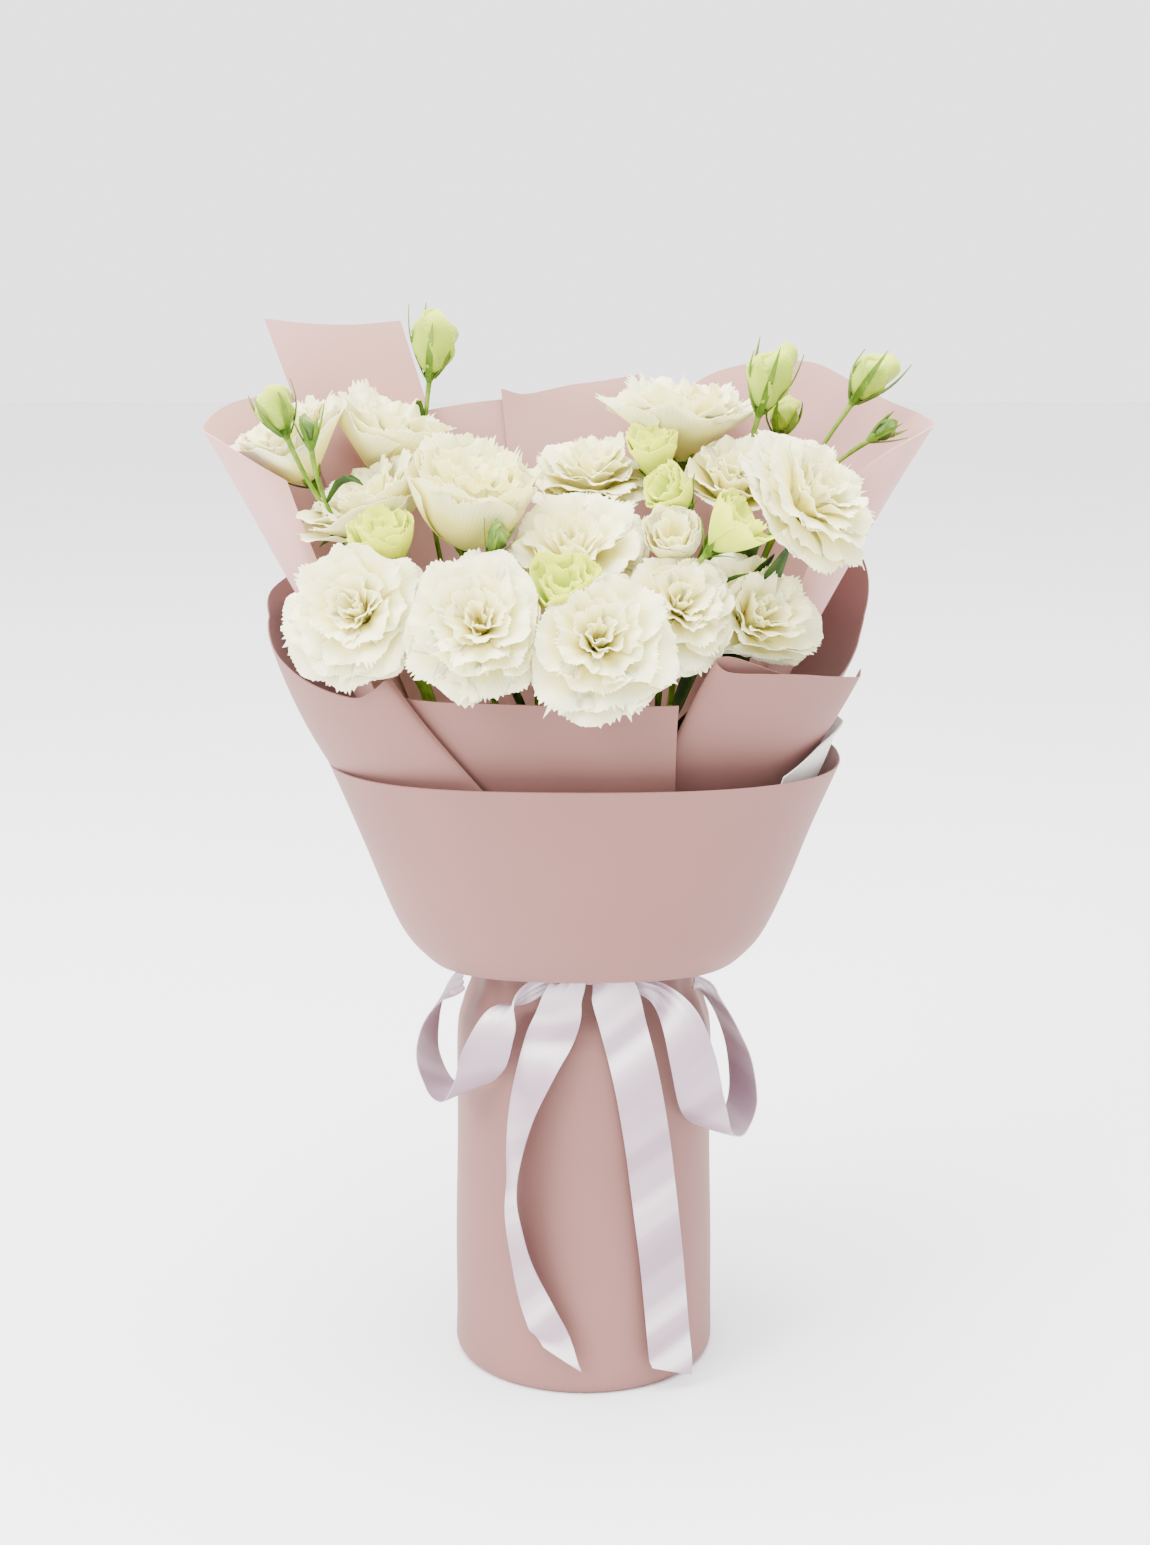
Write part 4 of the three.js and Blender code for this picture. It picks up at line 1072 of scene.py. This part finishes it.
def petal_pattern():
    """Faces of one closed petal, and which points of the fine grid it uses."""
    coarse, fine = PETAL_COLUMNS + 1, FINE_COLUMNS + 1
    rows = len(COARSE_AT)
    used = [row * fine + 3 * column for row in range(rows) for column in range(coarse)]
    used += [(rows + row) * fine + column for row in range(len(FINE_AT)) for column in range(fine)]
    face = grid_faces(rows, coarse).tolist()
    last, first = (rows - 1) * coarse, rows * coarse
    for i in range(PETAL_COLUMNS):
        a, b, c = last + i, last + i + 1, first + 3 * i
        face += [[a, c + 1, c], [a, c + 2, c + 1], [a, b, c + 2], [b, c + 3, c + 2]]
    face += (grid_faces(len(FINE_AT), fine) + first).tolist()
    right = [row * coarse + coarse - 1 for row in range(1, rows)]
    right += [first + row * fine + fine - 1 for row in range(len(FINE_AT))]
    top = [len(used) - 2 - i for i in range(fine - 1)]
    left = [first + row * fine for row in range(len(FINE_AT) - 2, -1, -1)]
    left += [row * coarse for row in range(rows - 1, 0, -1)]
    rim = np.array([*range(coarse), *right, *top, *left])
    count = len(used)
    back = [[i + count for i in reversed(corners)] for corners in face]
    return np.array(used), face + back + wall(rim, count).tolist()


PETAL_POINTS, PETAL_FACES = petal_pattern()


def fringe(rng):
    """Teeth along a petal's rim, long and short ones, strong in clumps and faint between them."""
    teeth = rng.uniform(-UNEVEN_RIM, UNEVEN_RIM, FINE_COLUMNS + 1)
    teeth[::2] += rng.uniform(0.0, TOOTH, len(teeth[::2]))
    long_ones = rng.integers(2, FINE_COLUMNS - 2, LONG_TEETH)
    teeth[long_ones] += rng.uniform(LEAST_LONG_TOOTH, TOOTH, LONG_TEETH)
    round_rim = np.linspace(0, rng.uniform(9, 14), FINE_COLUMNS + 1) + rng.uniform(0, 6)
    clumps = 0.85 + 0.75 * np.sin(round_rim)
    return (teeth * clumps)[None, :]


def petal_growth(gap, rng):
    """How far out each point is: the rim is scalloped, falls at its sides, and is fringed."""
    scallops = SCALLOP * np.cos(ACROSS * rng.uniform(4, 8) + rng.uniform(0, 6)) * SHARE
    fall = 1 - gap * np.abs(ACROSS) ** 3 - scallops
    return SHARE * fall + np.where(SHARE == 1, fringe(rng), 0)


def petal_arc(grown, length, first, last, roll, rng):
    """The petal's lean, and how far it goes out and up, as it bends away from the axis."""
    lean_last = last + rng.uniform(*LEAN_SPREAD)
    rolled = math.radians(roll * rng.uniform(*ROLL_SPREAD))
    lean = np.radians(mix(first, lean_last, grown)) + rolled * SHARE**6
    arc = length * rng.uniform(*LENGTH_SPREAD)
    steps = np.diff(grown, axis=0)
    middle = (lean[1:] + lean[:-1]) / 2
    root = np.zeros_like(ACROSS)
    out = arc * np.vstack([root, np.cumsum(np.sin(middle) * steps, 0)])
    rise = arc * np.vstack([root, np.cumsum(np.cos(middle) * steps, 0)])
    return lean, out, rise


def petal_turn(head, petals, order, number, rng):
    """Where the petal's points are round the axis: it laps over its neighbours."""
    half = math.pi / petals * rng.uniform(*LAP_SPREAD)
    start = (number + 0.5 * (order % 2)) / petals * 2 * math.pi + head.index * 0.4
    return start + rng.uniform(*TURN_SPREAD) + ACROSS * half * mix(ROOT_WIDTH, 1, SHARE)


def petal_ruffles(reach, ruffle, rng):
    """How far each point stands off the plain petal: waves that quicken towards the rim."""
    phases = rng.uniform(0, 2 * math.pi, 4)
    slow = np.sin(ACROSS * rng.uniform(3.2, 4.6) + phases[0])
    quick = np.sin(ACROSS * rng.uniform(8, 11) + phases[1] + 1.5 * SHARE)
    frill = np.sin(ACROSS * rng.uniform(17, 23) + phases[2]) * np.sin(ACROSS * 5 + phases[3])
    waves = SLOW_WAVE * slow * SHARE**1.5 + QUICK_WAVE * quick * SHARE**3
    waves = waves + FRILL * frill * SHARE**8
    return reach * ruffle * waves + (0.6 + ASKEW * reach) * ACROSS * SHARE


def petal_fold_shade(depth, reach, order):
    """How deep in a fold each point is: in the petal's hollows, and more so in inner rings; the
    finish paints shade there.
    """
    hollow = np.clip(0.5 - depth / (reach * 0.14), 0, 1) * (1 - 0.6 * SHARE)
    heart = (1 - SHARE) * 0.5 + 0.5 * min(1, 0.25 * order)
    return np.clip(hollow * 0.6 + heart * hollow, 0, 1)


def petal(head, planes, ring, order, number, rng):
    petals, length, first, last, gap, ruffle, roll = ring
    grown = petal_growth(gap, rng)
    lean, out, rise = petal_arc(grown, length * head.reach, first, last, roll, rng)
    turn = petal_turn(head, petals, order, number, rng)
    depth = petal_ruffles(head.reach, ruffle, rng)
    out = ROOT_OUT - ROOT_STEP_IN * order + out + depth * np.cos(lean)
    rise = 1 + ROOT_STEP_UP * order + rise - depth * np.sin(lean)
    grid = press_back(head.ring(out, rise, turn), planes)
    shift = grid_normals(grid) * mix(HALF_THICK_AT_ROOT, HALF_THICK_AT_RIM, SHARE**2)[..., None]
    sides = [(grid + sign * shift).reshape(-1, 3)[PETAL_POINTS] for sign in (1, -1)]
    size = grid.shape[:2]

    def spread(values):
        return np.tile(np.broadcast_to(values, size).ravel()[PETAL_POINTS], 2)

    # The "fold" attribute carries where shade is painted into the petal's colour
    attributes = {
        "along": spread(SHARE),
        "across": spread(ACROSS),
        "fold": spread(petal_fold_shade(depth, head.reach, order)),
    }
    return np.vstack(sides), PETAL_FACES, attributes


def flower_heads():
    for head in open_heads:
        planes = neighbour_planes(head)
        rng = np.random.default_rng(100 + head.index)
        rings = PETAL_RINGS[head.kind]
        bodies = [
            petal(head, planes, ring, order, number, rng)
            for order, ring in enumerate(rings)
            for number in range(ring[0])
        ]
        green = head.name.startswith("half")
        points, faces, attributes = gather(bodies)
        name = "petals_" + head.name.replace("bloom_", "")
        finish = PETAL_GREEN if green else PETAL_CREAM if head.kind == "goblet" else PETAL_WHITE
        piece = make_piece(name, points, faces, finish, attributes, sharp=80)
        dress(piece, "petal_green" if green else "petal_white", head.name)


# Buds: furled petals whose edges wind up round the bud

BUD_PROFILE = [
    [0.3, 0],
    [0.62, 0.1],
    [0.82, 0.26],
    [0.95, 0.46],
    [1.0, 0.66],
    [0.97, 0.8],
    [0.76, 0.92],
    [0.3, 1],
]
BUD_SIDES = 60
FURLED_PETALS = 5
FURL_TWIST = 1.5
FURL_LAP = 0.16
FURL_LOBE = 0.05
FURL_SLANT = 0.15


def furled(head, base):
    """One bud's points, faces and attributes."""
    profile = smooth_through(BUD_PROFILE, 4)
    wide, high = profile[:, :1], profile[:, 1:]
    turn = full_turn(BUD_SIDES)
    winding = ((turn * FURLED_PETALS / (2 * math.pi)) + high * FURL_TWIST) % 1
    lap = FURL_LAP * winding**3 * smoothstep(high, 0.05, 0.4)
    lobes = FURL_LOBE * np.cos(turn * FURLED_PETALS + high * 9)
    out = head.reach * wide * (0.9 + lap + lobes)
    slant = FURL_SLANT * np.cos(turn - head.index) * smoothstep(high, 0.35, 1)
    rise = head.length * (high + slant + 0.07 * (winding - 0.5) * smoothstep(high, 0.55, 1))
    placed = Head(head.name, head.index, "bud", base, head.axis, head.reach, head.length)
    loops = placed.ring(out, rise, turn)
    points, faces = pole_skin(loops, base, base + head.axis * head.length * 0.99)
    along = np.append(np.broadcast_to(high, loops.shape[:2]).ravel(), [0, 1])
    across = np.append((turn + 0 * high).ravel(), [0, 0])
    # Painted shade: "fold" is strongest where each furled petal tucks under the next one's lapping
    # edge
    fold = np.append((1 - winding).ravel() * 0.8, [0, 0])
    return points, faces, {"along": along * 0.9, "across": across, "fold": fold}


def buds():
    for head in heads:
        if head.kind == "bud":
            points, faces, attributes = furled(head, head.base)
            name = head.name.replace("bud_", "furled_")
            piece = make_piece(name, points, faces, BUD_GREEN, attributes)
            dress(piece, "petal_green", head.name)


# Stems: a hole in the foam, a fork and the heads that its branches carry

STEMS = {
    "stem_front_left": ((-30, -26), (-74, -42, 362), "bloom_front_left half_left"),
    "stem_left": ((-37, -6), (-90, -20, 398), "bloom_left bud_far_left tip_left"),
    "stem_far_left": ((-34, 14), (-92, 10, 405), "bloom_far_left"),
    "stem_back_left": ((-26, 34), (-72, 32, 415), "bloom_back_left bud_top_left"),
    "stem_front_midleft": ((-13, -36), (-42, -62, 365), "bloom_front_midleft tip_middle"),
    "stem_front_midright": ((8, -37), (6, -66, 362), "bloom_front_midright half_front"),
    "stem_middle": ((-12, -10), (-26, -18, 395), "bloom_middle bloom_midleft"),
    "stem_front_right": ((28, -28), (38, -46, 368), "bloom_front_right bloom_small half_right"),
    "stem_right": ((36, -9), (68, -28, 378), "bloom_low_right bloom_right"),
    "stem_centre": ((8, 6), (14, 0, 410), "bloom_back_middle half_nodding half_back"),
    "stem_back_right": (
        (26, 32),
        (54, 28, 415),
        "bloom_back_right bloom_midright bud_top_right bud_round_right",
    ),
    "stem_far_right": ((35, 12), (90, 10, 430), "bud_far_right tip_right"),
}

# One leaf a stem: the share of the stem where it starts, its tip and its width
LEAVES = {
    "stem_front_left": (0.8, (-112, -66, 384), 16),
    "stem_left": (0.7, (-106, -26, 396), 15),
    "stem_far_left": (0.75, (-110, 18, 430), 14),
    "stem_back_left": (0.75, (-92, 38, 424), 14),
    "stem_front_midleft": (0.8, (-82, -70, 388), 16),
    "stem_front_midright": (0.75, (-18, -84, 385), 16),
    "stem_middle": (0.8, (-58, -30, 425), 16),
    "stem_front_right": (0.85, (66, -74, 398), 15),
    "stem_right": (0.95, (106, -68, 476), 28),
    "stem_centre": (0.85, (30, -28, 425), 14),
    "stem_back_right": (0.75, (84, 48, 425), 15),
    "stem_far_right": (0.8, (110, 20, 424), 14),
}


# Bracts and small leaves on the branches: whose branch it is, start share, tip, width
BRACTS = [
    ("tip_left", 0.8, (-114, -66, 506), 4.5),
    ("bud_far_left", 0.5, (-140, -36, 470), 4),
    ("half_right", 0.55, (84, -78, 462), 5),
    ("bud_top_left", 0.8, (-92, 28, 540), 4),
    ("bud_far_right", 0.5, (126, 2, 505), 4.5),
    ("bloom_low_right", 0.5, (98, -64, 470), 15),
    ("bloom_right", 0.7, (86, -64, 473), 13),
    ("half_left", 0.6, (-90, -66, 462), 9),
]
STEM_STEPS = 22
STEM_STRAIGHT = 12
STEM_BOW = 105
BRANCH_STEPS = 18
BRANCH_BEND = 0.36
BRANCH_ENDS = 4
BLADE = 0.5
LEAF_ROWS = 19
LEAF_COLUMNS = 9
LEAF_ARCH = 6
LEAF_HOLLOW = 3.2
LEAF_VEINS = 0.35


def bezier(a, b, c, d, steps):
    share = np.linspace(0, 1, steps + 1)[:, None]
    rest = 1 - share
    return rest**3 * a + 3 * rest**2 * share * b + 3 * rest * share**2 * c + share**3 * d


def main_path(hole, fork):
    foot = np.array([*hole, STEM_FOOT], float)
    leave = np.array([*hole, FOAM_TOP + STEM_STRAIGHT], float)
    high = np.array([*hole, FOAM_TOP + STEM_BOW], float)
    top = np.array(fork, float)
    before = top - (top - leave) * 0.3
    return np.vstack([foot, bezier(leave, high, before, top, STEM_STEPS)])


def branch_path(path, head):
    fork = path[-1]
    upward = unit(fork - path[-5])
    end = head.base - head.axis * BRANCH_ENDS
    reach = np.linalg.norm(end - fork) * BRANCH_BEND
    leave = fork + upward * reach
    arrive = end - head.axis * reach
    return bezier(fork - upward * BRANCH_ENDS, leave, arrive, end, BRANCH_STEPS)


def tube_tree():
    """Geometry nodes: a round tube along each line of the mesh, as wide as its "girth" there."""
    tree = bpy.data.node_groups.new("tubes_along_lines", "GeometryNodeTree")
    sockets = tree.interface
    sockets.new_socket("Lines", in_out="INPUT", socket_type="NodeSocketGeometry")
    sides = sockets.new_socket("Sides", in_out="INPUT", socket_type="NodeSocketInt")
    finish = sockets.new_socket("Finish", in_out="INPUT", socket_type="NodeSocketMaterial")
    sockets.new_socket("Tubes", in_out="OUTPUT", socket_type="NodeSocketGeometry")
    given = tree.nodes.new("NodeGroupInput")
    handed = tree.nodes.new("NodeGroupOutput")
    curve = tree.nodes.new("GeometryNodeMeshToCurve")
    circle = tree.nodes.new("GeometryNodeCurvePrimitiveCircle")
    circle.inputs["Radius"].default_value = MM
    girth = tree.nodes.new("GeometryNodeInputNamedAttribute")
    girth.inputs["Name"].default_value = "girth"
    swept = tree.nodes.new("GeometryNodeCurveToMesh")
    swept.inputs["Fill Caps"].default_value = True
    real = tree.nodes.new("GeometryNodeRealizeInstances")
    coloured = tree.nodes.new("GeometryNodeSetMaterial")
    for start, end in [
        (given.outputs["Lines"], curve.inputs["Mesh"]),
        (given.outputs["Sides"], circle.inputs["Resolution"]),
        (curve.outputs["Curve"], swept.inputs["Curve"]),
        (circle.outputs["Curve"], swept.inputs["Profile Curve"]),
        (girth.outputs["Attribute"], swept.inputs["Scale"]),
        (swept.outputs["Mesh"], real.inputs["Geometry"]),
        (real.outputs["Geometry"], coloured.inputs["Geometry"]),
        (given.outputs["Finish"], coloured.inputs["Material"]),
        (coloured.outputs["Geometry"], handed.inputs["Tubes"]),
    ]:
        tree.links.new(start, end)
    return tree, sides.identifier, finish.identifier


def tubes(name, lines, sides, finish):
    """A plain mesh of tubes along lines, each a pair of points and girths."""
    tree, sides_input, finish_input = tube_tree()
    points, edges, girths, along = [], [], [], []
    for path, girth in lines:
        first = sum(len(part) for part in points)
        points.append(path)
        girths.append(girth)
        along.append(np.linspace(0, 1, len(path)))
        edges += [(first + i, first + i + 1) for i in range(len(path) - 1)]
    mesh = bpy.data.meshes.new(name + "_lines")
    mesh.from_pydata((np.vstack(points) * MM).tolist(), edges, [])
    carry(mesh, {"girth": np.concatenate(girths), "along": np.concatenate(along)})
    lined = linked(name + "_lines", mesh)
    modifier = lined.modifiers.new("tubes", "NODES")
    modifier.node_group = tree
    modifier[sides_input] = sides
    modifier[finish_input] = finish
    seen = bpy.context.evaluated_depsgraph_get()
    made = bpy.data.meshes.new_from_object(lined.evaluated_get(seen))
    made.name = name
    lined.modifiers.remove(modifier)
    bpy.data.objects.remove(lined)
    smoothed(made, 60)
    return linked(name, made)


SEPALS = 5
SEPAL_ROWS = 9
SEPAL_COLUMNS = 5
CALYX_PROFILE = np.array(
    [[1.3, -6.5], [1.7, -5], [2.6, -3.4], [3.3, -1.8], [3.4, -0.5], [2.6, 0.1]]
)
CALYX_SIDES = 20


def sepal(head, turn, start, tip, width, bend):
    """A thin pointed blade from the calyx; start and tip are (out, rise) from the head's base."""
    share = np.linspace(0, 1, SEPAL_ROWS)[:, None]
    across = np.linspace(-1, 1, SEPAL_COLUMNS)[None, :]
    out = mix(start[0], tip[0], share) + bend * np.sin(share * math.pi)
    rise = mix(start[1], tip[1], share)
    half = width / 2 * (1 - share**1.5) ** 0.8 * (0.55 + 0.9 * share * (1 - share) * 2) + 0.12
    grid = head.ring(out, rise, np.full_like(share, turn))
    beside = np.cross(head.axis, grid - head.base - head.axis * rise[..., None])
    grid = grid + unit(beside) * (across * half)[..., None]
    hollow = 0.25 * half * (across**2)
    grid = grid + unit(grid - head.base) * hollow[..., None]
    points, faces = thick(grid, BLADE)
    return points, faces, {"along": on_both_faces(share, grid.shape[:2])}


def calyx(head):
    """The green cup under a head and its five sepals."""
    turn = full_turn(CALYX_SIDES)
    ribs = 1 + 0.06 * np.cos(turn * SEPALS)
    loops = head.ring(CALYX_PROFILE[:, :1] * ribs, CALYX_PROFILE[:, 1:] + 0 * turn, turn)
    points, faces = pole_skin(loops, head.base - head.axis * 6.6, head.base + head.axis * 0.2)
    bodies = [(points, faces, {"along": np.full(len(points), 0.3)})]
    shapes = {
        "rosette": ((3.0, -2.0), (11, 7), 3.2, 1.5),
        "cup": ((3.0, -2.0), (12, 9), 3.4, 1.0),
        "goblet": ((3.0, -2.0), (11, 12), 3.4, 1.0),
        "half": ((3.0, -2.5), (15, 8), 3.2, -1.0),
        "bud": ((2.6, -3.0), (head.reach * 1.25, head.length * 1.08), 4.2, 3.2),
        "tip": ((2.2, -2.5), (head.reach * 2.1, head.length * 1.2), 2.8, 0.6),
    }
    start, tip, width, bend = shapes[head.kind]
    rng = np.random.default_rng(40 + head.index)
    for i in range(SEPALS):
        spot = i / SEPALS * 2 * math.pi + head.index * 0.7
        reach = rng.uniform(0.7, 1.12)
        bodies.append(sepal(head, spot, start, (tip[0] * reach, tip[1] * reach), width, bend))
    return bodies


def leaf(path, share, tip, width):
    along = share * (len(path) - 1)
    start = path[int(along)]
    end = np.array(tip, float)
    direction = end - start
    side = unit(np.array([-direction[1], direction[0], 0]))
    part = np.linspace(0, 1, LEAF_ROWS)[:, None]
    across = np.linspace(-1, 1, LEAF_COLUMNS)[None, :]
    half = width / 2 * np.sin(np.pi * part**0.75) ** 0.8 * 0.95 + 0.35
    swell = np.sin(part * math.pi)
    veins = LEAF_VEINS * np.cos(across * 9 + part * 26) * swell
    lift = LEAF_ARCH * swell - 2 * part + LEAF_HOLLOW * across**2 * swell + veins
    grid = (
        start
        + direction * part[..., None]
        + side * (across * half)[..., None]
        + np.array([0, 0, 1.0]) * lift[..., None]
    )
    points, faces = thick(grid, BLADE)
    return points, faces, {"along": on_both_faces(np.abs(across), grid.shape[:2])}


def stems():
    lines, cups, blades, tips = [], [], [], []
    by_name = {head.name: head for head in heads}
    for stem, (hole, fork, carries) in STEMS.items():
        path = main_path(hole, fork)
        lines.append((path, np.linspace(STEM_RADIUS, FORK_RADIUS, len(path))))
        for name in carries.split():
            head = by_name[name]
            branch = branch_path(path, head)
            girth = np.linspace(BRANCH_RADIUS * 1.15, BRANCH_TOP_RADIUS, len(branch))
            girth[-3:] += [0.1, 0.25, 0.45]
            lines.append((branch, girth))
            blades += [leaf(branch, *row[1:]) for row in BRACTS if row[0] == name]
            cups += calyx(head)
            if head.kind == "tip":
                tips.append(furled(head, head.base - head.axis))
        blades.append(leaf(path, *LEAVES[stem]))
    piece = tubes("stems", lines, STEM_SIDES, STEM_GREEN)
    dress(piece, "stem", *STEMS)
    for name, bodies, finish in (
        ("calyxes", cups, STEM_GREEN),
        ("leaves", blades, LEAF_GREEN),
        ("bud_tips", tips, TIP_GREEN),
    ):
        points, faces, attributes = gather(bodies)
        settle(make_piece(name, points, faces, finish, attributes))


# Stamens: gold anthers on thin stalks in the hearts of the open blooms

STAMEN_HEADS = (
    "bloom_front_midleft",
    "bloom_front_right",
    "bloom_right",
    "bloom_low_right",
    "bloom_middle",
)
STAMENS = 9
STAMEN_SIDES = 7
STAMEN_OUT = np.array([1.5, 2.6, 3.6, 3.9, 4.2])
STAMEN_GIRTH = np.array([0.25, 0.25, 0.3, 0.95, 0.6])


def stamens():
    lines = []
    for head in heads:
        if head.name not in STAMEN_HEADS:
            continue
        rng = np.random.default_rng(70 + head.index)
        for i in range(STAMENS):
            turn = i / STAMENS * 2 * math.pi + rng.uniform(-0.3, 0.3)
            high = head.reach * rng.uniform(0.5, 0.66)
            out = STAMEN_OUT * rng.uniform(0.8, 1.3)
            rise = np.array([6, 0.5 * high, high - 2.2, high - 1.2, high])
            path = head.ring(out, rise, np.full_like(rise, turn))
            lines.append((path, STAMEN_GIRTH))
    settle(tubes("stamens", lines, STAMEN_SIDES, ANTHER_GOLD))


# The frame's own tub and foam, seen from above between the stems


def carried_over(name, finish):
    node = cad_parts[name]
    node.data.materials.clear()
    node.data.materials.append(finish)


# Surroundings: a pale floor, soft lights and the camera of the photograph

CAMERA_AT = (-0.005, -1.368, 0.647)
CAMERA_DOWN = math.radians(12.74)
CAMERA_LENS = 59.05
CAMERA_SENSOR = 36
FLOOR_SIZE = 14
SKY_STRENGTH = 2.7
LIT_POINT = (0, 0, 0.36)
LIGHTS = [
    ("key", (-1.7, -1.6, 1.7), 1.0, 85, (1, 0.98, 0.95)),
    ("top", (-0.3, -0.4, 3.0), 2.6, 310, (1, 1, 1)),
]


def pale_floor():
    bpy.ops.mesh.primitive_plane_add(size=FLOOR_SIZE)
    floor = bpy.context.object
    floor.name = "floor"
    floor.data.materials.append(floor_finish())


def soft_light(name, place, size, power, colour):
    data = bpy.data.lights.new(name, "AREA")
    data.size = size
    data.energy = power
    data.color = colour
    lamp = linked(name, data)
    lamp.location = place
    toward = np.array(LIT_POINT) - np.array(place)
    lamp.rotation_mode = "QUATERNION"
    lamp.rotation_quaternion = Vector(toward.tolist()).to_track_quat("-Z", "Y")


def surroundings():
    pale_floor()
    world = bpy.data.worlds.new("studio")
    world.use_nodes = True
    sky = world.node_tree.nodes["Background"]
    sky.inputs["Color"].default_value = (1, 1, 1, 1)
    sky.inputs["Strength"].default_value = SKY_STRENGTH
    bpy.context.scene.world = world
    for light in LIGHTS:
        soft_light(*light)
    lens = bpy.data.cameras.new("camera")
    lens.lens = CAMERA_LENS
    lens.sensor_width = CAMERA_SENSOR
    camera = linked("camera", lens)
    camera.location = CAMERA_AT
    camera.rotation_euler = (math.pi / 2 - CAMERA_DOWN, 0, 0)
    bpy.context.scene.camera = camera


sleeve()
collar()
sheets()
knot()
ribbon_band()
ribbon("tail_left", TAIL_LEFT)
ribbon("tail_right", TAIL_RIGHT)
ribbon("loop_left", LOOP_LEFT)
ribbon("loop_right", LOOP_RIGHT)
flower_heads()
buds()
stems()
stamens()
carried_over("inner_tub", tub_finish())
carried_over("floral_foam", foam_finish())
surroundings()
